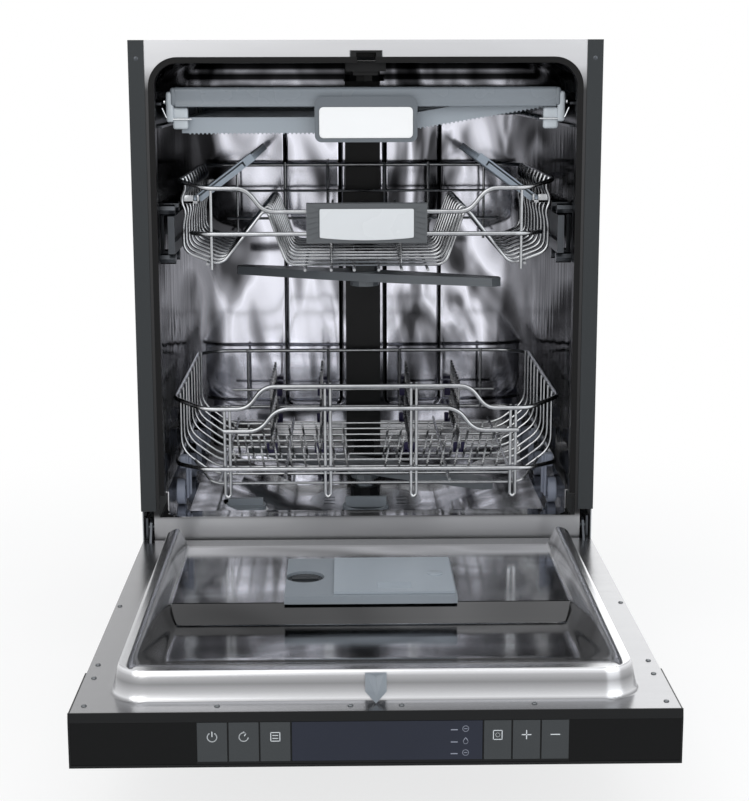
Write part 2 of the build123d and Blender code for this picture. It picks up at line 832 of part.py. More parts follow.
def strip_layout():
    """Left edges and widths of the buttons, left to right, with the display between them."""
    spots = []
    x = bank_left
    for i in range(buttons_per_side):
        spots.append(("button", x, left_button_width))
        x += left_button_width + rib
    spots.append(("display", x, display_width))
    x += display_width + rib
    for i in range(buttons_per_side):
        spots.append(("button", x, right_button_width))
        x += right_button_width + rib
    return spots


fascia_half = width / 2 - 1
fascia_wall = 3.5
fascia_recess = 0.8
fascia_arm_back = -504.0


def fascia():
    face = -door_reach
    ledge = 1.8
    seat = door_top_z - door_sheet
    slope_low = button_top + 0.6
    channel = profile_x([(face, door_bottom_z), (face + fascia_depth, door_bottom_z),
                         (face + fascia_depth, door_bottom_z + ledge),
                         (face + fascia_wall, door_bottom_z + ledge),
                         (face + fascia_wall, seat - ledge), (face + fascia_depth, seat - ledge),
                         (face + fascia_depth, seat),
                         (face + fascia_lip, seat), (face + fascia_lip, door_top_z), (face + 1.6, door_top_z),
                         (face, slope_low)], -fascia_half, fascia_half)
    channel = channel - block(-fascia_half + 2, fascia_half - 2, face - 1, face + fascia_recess,
                              button_low - 3, slope_low)
    for kind, x, wide in strip_layout():
        channel = channel - block(x - seat_gap, x + wide + seat_gap, face - 1, face + fascia_wall + 1,
                                  button_low - seat_gap, button_top + seat_gap)
    arm = block(door_half, fascia_half, face + fascia_wall, fascia_arm_back, door_bottom_z, seat)
    posts = [block(x - 3, x + 3, face + fascia_wall, board_y, button_low, button_low + 6)
             for x in board_ends()]
    return joined([channel] + both_sides(arm) + posts)


def board_ends():
    last = strip_layout()[-1]
    return [bank_left - 8, last[1] + last[2] + 8]


def display_window():
    for kind, x, wide in strip_layout():
        if kind == "display":
            return block(x, x + wide, -door_reach + 0.5, -door_reach + display_depth, button_low, button_top)


board_y = -door_reach + 9.3
display_depth = 5.0


def control_board():
    left, right = board_ends()
    board = block(left, right, board_y, board_y + 1.6, door_bottom_z + 2, button_top + 2)
    for kind, x, wide in strip_layout():
        if kind == "button":
            switch_half = 3.0
            middle = x + wide / 2
            centre_z = (button_low + button_top) / 2
            board = board + block(middle - switch_half, middle + switch_half, board_y - 1.2, board_y,
                                  centre_z - switch_half, centre_z + switch_half)
        else:
            board = board + block(x + 4, x + wide - 4, -door_reach + display_depth, board_y, button_low + 4,
                                  button_top - 4)
    return board


def button(x, wide):
    face = -door_reach + 0.3
    cap = block(x, x + wide, face, face + 5, button_low, button_top)
    middle = x + wide / 2
    centre_z = (button_low + button_top) / 2
    stem = block(middle - 2, middle + 2, face + 5, board_y - 1.2 - button_travel - seat_gap, centre_z - 2,
                 centre_z + 2)
    return cap + stem


def door_striker():
    top = door_top_z + rim_height
    wedge = profile_x([(rim_front_y, top), (rim_front_y - 0.8, top),
                       (rim_front_y - striker_reach, door_top_z + 1),
                       (rim_front_y, door_top_z + 1)], -striker_half, striker_half)
    pentagon = profile_y([(-striker_half, top + 1), (striker_half, top + 1), (striker_half, door_top_z + 12),
                          (0, door_top_z + 0.5), (-striker_half, door_top_z + 12)],
                         rim_front_y - striker_reach - 2, rim_front_y)
    return wedge & pentagon


cap_x = -78.0
cap_y = -211.0
cap_radius = 22.0
chamber_left = 34.0
chamber_right = 92.0
lid_thickness = 3.0

dispenser_top = platform_z + 9


def dispenser_body():
    seat = 4 + seat_gap
    body = block(-dispenser_half + seat, dispenser_half - seat, dispenser_front + seat, dispenser_back - seat,
                 platform_z - 40, platform_z + 1)
    plate = block(-dispenser_half, dispenser_half, dispenser_front, dispenser_back, platform_z, dispenser_top)
    chamber = block(chamber_left, chamber_right, dispenser_front + 22, dispenser_back - 18, platform_z - 26,
                    dispenser_top + 1)
    well = prism(20, cap_radius + 1, (cap_x, cap_y, dispenser_top - 7), (cap_x, cap_y, dispenser_top + 1))
    return body + plate - chamber - well


def detergent_lid():
    z = dispenser_top + seat_gap
    return block(-43, dispenser_half - 2, dispenser_front + 8, dispenser_back - 8, z, z + lid_thickness)


def rinse_cap():
    disc = prism(20, cap_radius, (cap_x, cap_y, dispenser_top - 7 + seat_gap),
                 (cap_x, cap_y, dispenser_top - 3))
    grip = block(cap_x - 16, cap_x + 16, cap_y - 2.5, cap_y + 2.5, dispenser_top - 4, dispenser_top - 0.5)
    return disc + grip


# Lower basket

def lower_basket():
    y0 = lower_front + rim_wire / 2
    y1 = lower_back - rim_wire / 2
    half = lower_half
    front_half = 214.0
    side_front = y0 + 38
    side_back = y1 - 27
    back_half = 223.0
    low_front = lower_rim_z - 8
    high_front = lower_rim_z + 22
    dip_outer = 158.0
    dip_inner = 136.0
    rim = bent_wire([(0, y1, lower_rim_z), (back_half, y1, lower_rim_z), (half, side_back, lower_rim_z),
                     (half, side_front, lower_rim_z), (front_half, y0, low_front), (dip_outer, y0, low_front),
                     (dip_inner, y0, high_front), (-dip_inner, y0, high_front), (-dip_outer, y0, low_front),
                     (-front_half, y0, low_front), (-half, side_front, lower_rim_z),
                     (-half, side_back, lower_rim_z),
                     (-back_half, y1, lower_rim_z)], rim_wire, (0, 1, 0), True)
    second_low = lower_rim_z - 38
    second_high = lower_rim_z - 8
    second = bent_wire([(-188, y0, second_low), (-142, y0, second_low), (-120, y0, second_high),
                        (120, y0, second_high),
                        (142, y0, second_low), (199, y0, second_low)], rim_wire, (0, 1, 0))
    frame = bent_wire([(0, y1, lower_frame_z), (back_half, y1, lower_frame_z),
                       (half - 1, side_back, lower_frame_z),
                       (half - 1, side_front, lower_frame_z), (front_half, y0, lower_frame_z),
                       (-front_half, y0, lower_frame_z),
                       (-half + 1, side_front, lower_frame_z), (-half + 1, side_back, lower_frame_z),
                       (-back_half, y1, lower_frame_z)], rim_wire, (0, 1, 0), True)
    made = rim + second + frame
    made += lower_cross_wires() + lower_uprights() + lower_floor_wires() + lower_front_tines()
    return made


lower_cross_y = (82.0, 124.0, 166.0, 202.0, 250.0, 292.0, 334.0, 376.0, 418.0)


def lower_cross_wires():
    """Wires that run down one side, across the floor and up the other."""
    made = []
    wall = lower_half - rim_wire / 2 - basket_wire / 2
    knee = 206.0
    for y in lower_cross_y:
        made += bent_wire([(-wall, y, lower_rim_z + 2), (-wall, y, lower_floor_z + 34),
                           (-knee, y, lower_floor_z),
                           (knee, y, lower_floor_z), (wall, y, lower_floor_z + 34),
                           (wall, y, lower_rim_z + 2)],
                          basket_wire, (1, 0, 0), sides=4)
    return made


back_rail_z = lower_rim_z - 61
back_rail_y = lower_back - rim_wire - basket_wire * 1.5


def lower_uprights():
    """Double uprights at the front and single ones at the back."""
    made = []
    front_y = lower_front + rim_wire + basket_wire / 2
    back_y = lower_back - rim_wire - basket_wire / 2
    for x, top in ((-185, lower_rim_z - 4), (-52, lower_rim_z + 26), (62, lower_rim_z + 26),
                   (194, lower_rim_z - 4)):
        for side in (-3.5, 3.5):
            made += bent_wire([(x + side, front_y, top), (x + side, front_y, lower_floor_z - 15)],
                              basket_wire, (0, 1, 0), sides=4)
    for x in (-181, -55, 57, 184):
        made += bent_wire([(x, back_y, lower_rim_z + 3), (x, back_y, lower_frame_z - 3)], basket_wire,
                          (0, 1, 0), sides=4)
    made += bent_wire([(-205, back_rail_y, back_rail_z), (205, back_rail_y, back_rail_z)], basket_wire,
                      (0, 1, 0), sides=4)
    return made


lower_floor_x = (-196.0, -110.0, 110.0, 196.0)


def lower_floor_wires():
    """Wires from front to back, on top of the cross wires, and the one across the front."""
    made = []
    start = lower_front + rim_wire + basket_wire + 1
    end = lower_back - rim_wire - basket_wire - 1
    z = lower_floor_z + basket_wire
    for x in lower_floor_x:
        made += bent_wire([(x, start, z), (x, end, z)], basket_wire, (0, 0, 1), sides=4)
    front_y = lower_front + rim_wire + basket_wire * 1.5 + 0.5
    made += bent_wire([(-232, front_y + 34, lower_floor_z + 24), (-206, front_y, lower_floor_z),
                       (206, front_y, lower_floor_z),
                       (232, front_y + 34, lower_floor_z + 24)], basket_wire, (0, 0, 1))
    return made


def lower_front_tines():
    """Two rows of short tines that lean outward, left and right of the middle."""
    made = []
    lean = 9.0
    tall = 52.0
    pitch = 19.0
    per_side = 9
    for y in [lower_cross_y[i] + (basket_wire + tine_wire) / 2 for i in (0, 2)]:
        for side in (-1, 1):
            for i in range(per_side):
                x = side * (24 + i * pitch)
                foot_z = lower_floor_z
                made += bent_wire([(x, y, foot_z), (x + side * lean, y, foot_z + tall)], tine_wire, (0, 1, 0),
                                  sides=4)
    return made


fold_x = (-135.0, -64.0, 64.0, 135.0)
fold_front = lower_cross_y[3]
fold_rear = lower_cross_y[8]
fold_tines = 8
fold_pitch = 24.0
fold_height = 92.0
fold_axis_z = lower_floor_z + basket_wire / 2 + 7.8
post_y = fold_rear + 10.0
clip_half = 3.0


def tine_row(number):
    """A folding row: one axle wire with its tines, and the shorter post that the rear clip holds."""
    x = fold_x[number]
    foot = fold_axis_z + basket_wire / 2
    made = bent_wire([(x, fold_front - clip_half, fold_axis_z), (x, post_y + tine_wire / 2, fold_axis_z)],
                     basket_wire, (0, 0, 1))
    start = fold_front + 10 + (number % 2) * fold_pitch / 2
    for i in range(fold_tines):
        y = start + i * fold_pitch
        made += bent_wire([(x, y, foot), (x, y, foot + fold_height)], tine_wire, (0, 1, 0), sides=4)
    made += bent_wire([(x, post_y, foot), (x, post_y, back_rail_z + 9)], tine_wire, (0, 1, 0), sides=4)
    return made


def rack_clips():
    """Plastic pieces of the lower basket: the clips that hold the folding rows and the wheel carriers."""
    made = []
    slot_half = basket_wire / 2 / math.cos(math.pi / 6) + seat_gap
    for x in fold_x:
        for y in (fold_front, fold_rear):
            clip = block(x - 9, x + 9, y - clip_half, y + clip_half, lower_floor_z + basket_wire / 2,
                         fold_axis_z + 7)
            slot = block(x - slot_half, x + slot_half, y - 9, y + 9, fold_axis_z - slot_half, fold_axis_z + 9)
            made.append(clip - slot)
        inward = -math.copysign(1, x)
        lock_half = tine_wire / 2 + running_gap
        lock = block(x - 8, x + 8, post_y - 4, back_rail_y - basket_wire / 2, back_rail_z - 7,
                     back_rail_z + 7)
        gate = sorted((x - inward * lock_half, x + inward * 9))
        made.append(lock - block(gate[0], gate[1], post_y - lock_half, post_y + lock_half, back_rail_z - 8,
                                 back_rail_z + 8))
    frame_inner = lower_half - 1 - rim_wire / 2
    plate_x = wheel_x - wheel_width / 2 - running_gap
    for y in wheel_places:
        plate = block(plate_x - 4, plate_x, y - 8, y + 8, lower_wheel_z - 8, lower_frame_z + 9)
        saddle = block(plate_x - 1, frame_inner, y - 8, y + 8, lower_frame_z - 8, lower_frame_z + 9)
        axle = prism(8, axle_radius * math.cos(math.pi / 8), (plate_x - 1, y, lower_wheel_z),
                     (wheel_x + wheel_width / 2, y, lower_wheel_z))
        made.extend(both_sides(plate + saddle + axle))
    return made


lower_wheel_z = rail_z + seat_gap + wheel_radius


def wheel_pair(y):
    inner = wheel_x - wheel_width / 2
    outer = wheel_x + wheel_width / 2
    tread = prism(16, wheel_radius * math.cos(math.pi / 16), (inner, y, lower_wheel_z),
                  (outer, y, lower_wheel_z))
    bore = prism(8, axle_radius + seat_gap, (inner - 1, y, lower_wheel_z), (outer + 1, y, lower_wheel_z))
    return both_sides(tread - bore)


# Upper basket
upper_cross_count = 10
upper_cross_start = 48.0
upper_cross_end = 402.0


def upper_basket():
    y0 = upper_front + rim_wire / 2
    y1 = upper_back - rim_wire / 2
    half = upper_half
    front_half = 206.0
    side_front = y0 + 34
    side_back = y1 - 28
    back_half = 212.0
    front_low = upper_rim_z - 8
    front_dip = upper_rim_z - 38
    rim = bent_wire([(0, y1, upper_rim_z), (back_half, y1, upper_rim_z), (half, side_back, upper_rim_z),
                     (half, side_front, upper_rim_z), (front_half, y0, front_low), (155, y0, front_low),
                     (132, y0, front_dip), (-132, y0, front_dip), (-155, y0, front_low),
                     (-front_half, y0, front_low),
                     (-half, side_front, upper_rim_z), (-half, side_back, upper_rim_z),
                     (-back_half, y1, upper_rim_z)],
                    rim_wire, (0, 1, 0), True)
    second_z = upper_rim_z - 66.5
    wall = upper_half - rim_wire / 2 - basket_wire / 2
    second = bent_wire([(-228, y0 + 26, second_z), (-206, y0, second_z), (206, y0, second_z),
                        (228, y0 + 26, second_z)],
                       rim_wire, (0, 1, 0))
    made = rim + second
    back_y = upper_back - rim_wire - basket_wire / 2
    rail_y = back_y - basket_wire
    for x in (-192, -119, -54, 33, 100, 185):
        made += bent_wire([(x, back_y, upper_rim_z + 3), (x, back_y, upper_floor_z - 2)], basket_wire,
                          (0, 1, 0), sides=4)
    made += bent_wire([(-208, rail_y, upper_rim_z - 39), (208, rail_y, upper_rim_z - 39)], basket_wire,
                      (0, 1, 0), sides=4)
    for start, end in ((-208, -30), (30, 208)):
        z = upper_rim_z - 81
        made += bent_wire([(start, rail_y, z), (end, rail_y, z)], basket_wire, (0, 1, 0), sides=4)
    upright_y = upper_front + rim_wire + basket_wire / 2
    for x in (-200, 200):
        made += bent_wire([(x, upright_y, upper_rim_z - 5), (x, upright_y, upper_floor_z - 2)], basket_wire,
                          (0, 1, 0), sides=4)
    floor = upper_floor_z
    ridge = upper_ridge_z
    for y in upper_cross_places():
        made += bent_wire([(-wall, y, upper_rim_z + 2), (-wall, y, floor + 18), (-190, y, floor),
                           (-130.5, y, ridge), (-104, y, floor), (104, y, floor), (130.5, y, ridge),
                           (190, y, floor),
                           (wall, y, floor + 18), (wall, y, upper_rim_z + 2)],
                          basket_wire, (1, 0, 0), sides=4)
    start = upper_front + rim_wire + 2 * basket_wire
    for x, end in ((-208, rail_y - 3), (-80, rail_y - 3), (-16, rail_y - 3), (16, rail_y - 3),
                   (80, rail_y - 3), (208, rail_y - 3)):
        made += bent_wire([(x, start, floor - basket_wire), (x, end, floor - basket_wire)], basket_wire,
                          (0, 0, 1), sides=4)
    return made + slide_hangers() + shelf_lugs()


def upper_cross_places():
    step = (upper_cross_end - upper_cross_start) / (upper_cross_count - 1)
    return [upper_cross_start + i * step for i in range(upper_cross_count)]


def slide_hangers():
    """Steel plates on the basket's sides, each with a roller that runs in the slide's groove."""
    made = []
    outer = upper_half + rim_wire / 2
    roller_radius = groove_half - 2 * seat_gap
    for y in (300.0, 380.0):
        plate = block(outer, outer + 1.6, y - 12, y + 12, slide_mid - 8, upper_rim_z + 2)
        roller = prism(8, roller_radius * math.cos(math.pi / 8), (outer + 1, y, slide_mid),
                       (slide_outer - 2 - seat_gap, y, slide_mid))
        made.extend(both_sides(plate + roller))
    return made


shelf_pivot_x = upper_half - rim_wire / 2 - basket_wire - 14
shelf_pivot_z = upper_rim_z - 24
shelf_pin = 2.0
shelf_length = 95.0
lug_depth = 7.0


def shelf_lugs():
    """Open hooks beside the first and last side wires, which hold the cup shelves' pins."""
    made = []
    first = upper_cross_start + basket_wire / 2
    last = upper_cross_end - basket_wire / 2
    outer = upper_half - rim_wire / 2
    slot_half = shelf_pin + running_gap
    for y0 in (first, last - lug_depth):
        lug = block(shelf_pivot_x - 5, outer, y0, y0 + lug_depth, shelf_pivot_z - 6, shelf_pivot_z + 5)
        slot = block(shelf_pivot_x - slot_half, shelf_pivot_x + slot_half, y0 - 1, y0 + lug_depth + 1,
                     shelf_pivot_z - slot_half, shelf_pivot_z + 6)
        made.extend(both_sides(lug - slot))
    return made


handle_half = 77.0
handle_seat = 0.2


def upper_handle():
    low = upper_rim_z - 76
    high = upper_rim_z - 26
    back = upper_front - handle_seat
    front = back - 20
    frame = block(-handle_half, handle_half, front, back, low, high)
    pocket = block(-handle_half + 4, handle_half - 4, front + 3, back + 1, low - 1, high - 4)
    recess = block(-60, 60, front - 1, front + 1, low + 6, high - 6)
    return frame - pocket - recess


def cup_shelf(side):
    """A comb-edged shelf that hangs on the side of the upper basket."""
    first = upper_cross_start + basket_wire / 2
    last = upper_cross_end - basket_wire / 2
    start = first + lug_depth + running_gap
    end = last - lug_depth - running_gap
    plate = block(-shelf_length, 0, start, end, -1.5, 1.5)
    teeth = 7
    pitch = (end - start) / teeth
    for i in range(teeth):
        y = start + (i + 0.5) * pitch
        plate = plate - block(-shelf_length - 1, -shelf_length + 14, y - 5, y + 5, -3, 3)
    spine = prism(8, 4, (0, start, 0), (0, end, 0))
    pin = prism(8, shelf_pin * math.cos(math.pi / 8), (0, first + 1, 0), (0, last - 1, 0))
    shelf = Pos(shelf_pivot_x, 0, shelf_pivot_z) * Rot(0, shelf_angle, 0) * (plate + spine + pin)
    if side < 0:
        shelf = mirror(shelf, about=Plane.YZ)
    return shelf


# Cutlery tray
insert_inner = 30.0
insert_outer = 238.0
insert_z = 718.0
insert_start = tray_front + 16
insert_end = tray_back - 12


def tray_frame():
    bar_low = tray_top - 25.0
    bar_depth = 14.0
    front = tray_front
    rear_start = tray_back - 10
    bar = block(-tray_half, tray_half, front, front + bar_depth, bar_low, tray_top)
    bar = fillet(bar.edges().filter_by(Axis.Y).group_by(Axis.Z)[0], 8)
    handle_half_x = 66.0
    handle_low = bar_low - 45
    handle = block(-handle_half_x, handle_half_x, front - 6, front, handle_low, tray_top - 12)
    handle = handle - block(-handle_half_x + 5, handle_half_x - 5, front - 7, front - 4.5, handle_low + 4,
                            bar_low)
    back_bar = block(-tray_half + 6, tray_half - 6, rear_start, tray_back, bar_low - 20, bar_low + 14)
    side = block(tray_half - 10, tray_half - 4, front + bar_depth, rear_start, bar_low - 20, bar_low + 14)
    ledge = block(insert_outer - 6, tray_half - 9, insert_start + 10, insert_end - 10, bar_low - 20,
                  insert_z - 2 - seat_gap)
    middle = block(insert_inner - 8, insert_inner - 3 - running_gap, front + bar_depth - 1, rear_start + 1,
                   bar_low - 20, bar_low)
    shoes = []
    for y in (tray_back - 44, tray_back - 110):
        lug = block(tray_half - 5, tub_half - runner_web - running_gap, y - 12, y + 12,
                    rail_low + runner_wall + running_gap, rail_high - runner_wall - running_gap)
        shoes.append(lug)
    pins = [block(insert_inner - 4, insert_inner + 3.5, front + bar_depth - 1, insert_start - running_gap,
                  insert_z - 7, insert_z - 1),
            block(insert_inner - 4, insert_inner + 3.5, insert_end + running_gap, rear_start + 1,
                  insert_z - 7, insert_z - 1)]
    shape = joined([side, ledge, middle] + shoes + pins)
    return joined([bar, handle, back_bar] + both_sides(shape))


def tray_insert(side, tilt):
    """A comb floor for knives and spoons; it hinges beside the middle of the tray."""
    reach = insert_outer - insert_inner
    floor = block(0, reach, insert_start, insert_end, -2, 0)
    slots = 6
    pitch = (insert_end - insert_start) / slots
    for i in range(slots):
        y = insert_start + (i + 0.5) * pitch
        floor = floor - block(12, reach - 12, y - 8, y + 8, -3, 1)
    front_wall = block(6, reach, insert_start, insert_start + 2, -20, -2)
    back_wall = block(6, reach, insert_end - 2, insert_end, -20, -2)
    place = Pos(insert_inner, 0, insert_z) * Rot(0, -tilt, 0)
    shapes = [place * piece for piece in (floor, front_wall, back_wall)]
    if side < 0:
        shapes = [mirror(shape, about=Plane.YZ) for shape in shapes]
    return shapes


def main():
    nodes = {
        "tub_wrap": [tub_wrap(), tub_back()],
        "tub_floor": tub_floor(),
        "front_frame": front_frame(),
        "door_gasket": door_gasket(),
        "side_strips": side_strips(),
        "outer_casing": outer_casing(),
        "base_tray": base_tray(),
        "levelling_feet": levelling_feet(),
        "counterweight": counterweight(),
        "hinge_brackets": hinge_brackets(),
        "hinge_springs": hinge_springs(),
        "sump": sump(),
        "filter_plate": filter_plate(),
        "filter_cup": filter_cup(),
        "circulation_pump": circulation_pump(),
        "drain_pump": drain_pump(),
        "water_softener": water_softener(),
        "salt_cap": salt_cap(),
        "inlet_valve": inlet_valve(),
        "power_inlet": power_inlet(),
        "feed_duct": [feed_duct(), floor_duct()],
        "ceiling_duct": ceiling_duct(),
        "door_latch": door_latch(),
        "wall_runners": wall_runners(),
        "upper_slides": upper_slides(),
        "lower_spray_arm": lower_spray_arm(),
        "upper_spray_arm": upper_spray_arm(),
        "upper_feed_tube": upper_feed_tube(),
        "door_liner": door_liner(),
        "door_outer_panel": door_outer_panel(),
        "hinge_arms": hinge_arms(),
        "fascia": fascia(),
        "display_window": display_window(),
        "control_board": control_board(),
        "door_striker": door_striker(),
        "dispenser_body": dispenser_body(),
        "detergent_lid": detergent_lid(),
        "rinse_cap": rinse_cap(),
        "lower_basket": lower_basket(),
        "rack_clips": rack_clips(),
        "upper_basket": upper_basket(),
        "upper_handle": upper_handle(),
        "cup_shelf_left": cup_shelf(-1),
        "cup_shelf_right": cup_shelf(1),
        "tray_frame": tray_frame(),
        "tray_insert_left": tray_insert(-1, 0.0),
        "tray_insert_right": tray_insert(1, tray_tilt),
    }
    number = 0
    for kind, x, wide in strip_layout():
        if kind == "button":
            number += 1
            nodes[f"button_{number}"] = button(x, wide)
    for i, y in enumerate(wheel_places):
        nodes[f"lower_wheels_{i + 1}"] = wheel_pair(y)
    for i in range(len(fold_x)):
        nodes[f"tine_row_{i + 1}"] = tine_row(i)
    os.makedirs("parts", exist_ok=True)
    for name, shapes in nodes.items():
        group = Compound(children=solids_of(shapes))
        group.label = name
        export_step(Pos(0, origin_shift, 0) * group, f"parts/{name}.step")
    print(len(nodes), "nodes")


main()
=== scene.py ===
import bmesh
import bpy
import math
from mathutils import Matrix, Vector


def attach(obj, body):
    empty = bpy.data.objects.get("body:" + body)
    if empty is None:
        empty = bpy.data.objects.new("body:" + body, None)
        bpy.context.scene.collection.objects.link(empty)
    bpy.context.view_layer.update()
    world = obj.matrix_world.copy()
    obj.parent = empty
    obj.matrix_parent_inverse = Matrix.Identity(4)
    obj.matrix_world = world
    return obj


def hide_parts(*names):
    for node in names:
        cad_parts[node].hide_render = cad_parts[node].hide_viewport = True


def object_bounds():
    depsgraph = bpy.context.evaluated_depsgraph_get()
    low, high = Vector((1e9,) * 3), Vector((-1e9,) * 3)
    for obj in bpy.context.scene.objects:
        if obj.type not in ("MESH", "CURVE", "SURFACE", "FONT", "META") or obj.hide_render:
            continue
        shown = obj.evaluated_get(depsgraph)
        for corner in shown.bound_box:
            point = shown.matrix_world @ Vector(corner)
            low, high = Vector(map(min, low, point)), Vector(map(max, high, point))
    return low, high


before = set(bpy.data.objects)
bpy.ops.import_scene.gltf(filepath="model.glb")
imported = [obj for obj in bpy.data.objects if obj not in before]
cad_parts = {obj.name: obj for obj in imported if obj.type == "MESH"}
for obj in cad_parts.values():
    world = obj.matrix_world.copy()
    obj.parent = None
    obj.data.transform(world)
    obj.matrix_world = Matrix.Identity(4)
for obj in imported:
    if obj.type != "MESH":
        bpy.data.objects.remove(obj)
cad_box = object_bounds()

# The machine's own frame, in millimetres: x right, y into the machine from its front plane, z up
shift_y = 44.0
milli = 0.001
both_sides = (-1, 1)

# Camera, fitted to the photograph's perspective
image_width = 749
focal_pixels = 1676.87
camera_place = (-28.06, -2152.18, 771.98)
camera_pitch = math.radians(11.0)
camera_yaw = math.radians(1.003)
camera_roll = math.radians(-0.115)


def at(x, y, z):
    return Vector((x * milli, (y + shift_y) * milli, z * milli))


def place_of(spot):
    """The reverse of at: a point's x, y and z in the machine's own frame."""
    return spot.x / milli, spot.y / milli - shift_y, spot.z / milli


def new_object(name, data):
    made = bpy.data.objects.new(name, data)
    bpy.context.scene.collection.objects.link(made)
    return made


def make_camera():
    forward = Vector((math.sin(camera_yaw) * math.cos(camera_pitch),
                      math.cos(camera_yaw) * math.cos(camera_pitch), -math.sin(camera_pitch)))
    level = Vector((math.cos(camera_yaw), -math.sin(camera_yaw), 0))
    upward = level.cross(forward)
    right = level * math.cos(camera_roll) + upward * math.sin(camera_roll)
    top = upward * math.cos(camera_roll) - level * math.sin(camera_roll)
    data = bpy.data.cameras.new("camera")
    data.sensor_fit = "HORIZONTAL"
    data.sensor_width = 36.0
    data.lens = focal_pixels * data.sensor_width / image_width
    data.clip_end = 100
    camera = new_object("camera", data)
    turn = Matrix((right, top, -forward)).transposed()
    camera.matrix_world = Matrix.Translation(at(*camera_place)) @ turn.to_4x4()
    bpy.context.scene.camera = camera


# Materials
neutral = (1.0, 1.004, 1.018)
lilac = (1.0, 1.0, 1.03)


def linear(value):
    return tuple(c / 12.92 if c <= 0.04045 else ((c + 0.055) / 1.055) ** 2.4 for c in value)


def hex_colour(code):
    return linear(int(code[i:i + 2], 16) / 255 for i in (0, 2, 4))


def levels(*stops, tint=neutral):
    """A ramp's stops from pairs of place and lightness."""
    return [(place, linear(level * share for share in tint)) for place, level in stops]


def around(code, variation, low, high):
    """A ramp's stops for one colour, a little darker at low and a little lighter at high."""
    factors = ((low, 1 - variation), (high, 1 + variation))
    return [(place, tuple(min(1.0, c * factor) for c in hex_colour(code))) for place, factor in factors]


class Surface:
    """One procedural material, built from noise in object space."""

    def __init__(self, name, metallic=0.0):
        self.material = bpy.data.materials.new(name)
        self.material.use_nodes = True
        self.tree = self.material.node_tree
        self.shader = self.tree.nodes["Principled BSDF"]
        self.shader.inputs["Metallic"].default_value = metallic
        self.place = self.tree.nodes.new("ShaderNodeTexCoord")

    def add(self, kind, source, entry, values=None):
        """A new node with its values set and the source linked to its entry."""
        node = self.tree.nodes.new(kind)
        for socket, value in (values or {}).items():
            node.inputs[socket].default_value = value
        self.tree.links.new(source, node.inputs[entry])
        return node

    def noise(self, scale, detail, stretch=(1, 1, 1), distortion=0.0):
        mapping = self.add("ShaderNodeMapping", self.place.outputs["Object"], "Vector", {"Scale": stretch})
        values = {"Scale": scale, "Detail": detail, "Distortion": distortion}
        return self.add("ShaderNodeTexNoise", mapping.outputs["Vector"], "Vector", values).outputs["Fac"]

    def ramp(self, source, stops):
        ramp = self.add("ShaderNodeValToRGB", source, "Fac")
        while len(ramp.color_ramp.elements) < len(stops):
            ramp.color_ramp.elements.new(0.5)
        for element, (position, colour) in zip(ramp.color_ramp.elements, stops):
            element.position = position
            element.color = (*colour, 1)
        return ramp.outputs["Color"]

    def spread(self, source, low, high, start=0.2, end=0.8):
        """Brings the source's range from start to end to the range from low to high."""
        values = {"From Min": start, "From Max": end, "To Min": low, "To Max": high}
        return self.add("ShaderNodeMapRange", source, "Value", values).outputs["Result"]

    def height(self, low, high):
        """How far up a point lies, from 0 at low to 1 at high."""
        parts = self.add("ShaderNodeSeparateXYZ", self.place.outputs["Object"], "Vector")
        return self.spread(parts.outputs["Z"], 0.0, 1.0, low * milli, high * milli)

    def finish(self, tone, rough, relief, depth):
        """Links the colour and the roughness, and a bump whose depth is in metres."""
        self.tree.links.new(tone, self.shader.inputs["Base Color"])
        self.tree.links.new(rough, self.shader.inputs["Roughness"])
        bump = self.add("ShaderNodeBump", relief, "Height", {"Distance": depth})
        self.tree.links.new(bump.outputs["Normal"], self.shader.inputs["Normal"])
        return self.material


def plastic(name, code, rough=(0.38, 0.44), grain=900.0, depth=0.00003, variation=0.03, specular=0.4):
    surface = Surface(name)
    surface.shader.inputs["Specular IOR Level"].default_value = specular
    tone = surface.ramp(surface.noise(9.0, 3.0), around(code, variation, 0.2, 0.8))
    gloss = surface.spread(surface.noise(24.0, 2.0), *rough)
    return surface.finish(tone, gloss, surface.noise(grain, 2.0), depth)


def metal(name, code, rough=(0.16, 0.26), stretch=(1, 1, 1), scale=60.0, variation=0.1, depth=0.00001):
    surface = Surface(name, 1.0)
    fine = surface.noise(scale, 5.0, stretch)
    tone = surface.ramp(fine, around(code, variation, 0.3, 0.7))
    return surface.finish(tone, surface.spread(fine, *rough), surface.noise(scale * 8, 2.0, stretch), depth)


def brushed_steel(name, low, high, stops, scale, stretch, rough, depth):
    """Sheet with light and shade painted by height: its lightness follows the stops from the height low to
    the height high, with a fine grain.
    """
    surface = Surface(name, 1.0)
    brushed = surface.noise(scale, 3.0, stretch)
    tone = surface.ramp(surface.height(low, high), stops)
    return surface.finish(tone, surface.spread(brushed, *rough), brushed, depth)


def mirror_steel(name, stretch, scale, stops, rough=(0.07, 0.12), wave=0.0006, distortion=0.6, heights=None,
                 edge=1.0):
    """Bright annealed sheet: pressed steel whose colour carries painted reflections, soft dark and light
    streaks.

    heights darkens it by height as painted shade, with painted bright stripes: the lowest and highest place,
    and the stops between them. An edge below 1 keeps it dark where it is seen at a shallow angle."""
    surface = Surface(name, 1.0)
    surface.shader.inputs["Specular Tint"].default_value = (edge, edge, edge, 1.0)
    reflection_bands = surface.noise(scale, 2.0, stretch, distortion)
    tone = surface.ramp(reflection_bands, stops)
    if heights:
        low, high, shades = heights
        mix = surface.add("ShaderNodeMixRGB", tone, "Color1", {"Fac": 1.0})
        mix.blend_type = "MULTIPLY"
        surface.tree.links.new(surface.ramp(surface.height(low, high), shades), mix.inputs["Color2"])
        tone = mix.outputs["Color"]
    waves = surface.noise(scale * 1.7, 1.0, stretch, distortion)
    return surface.finish(tone, surface.spread(reflection_bands, *rough), waves, wave)


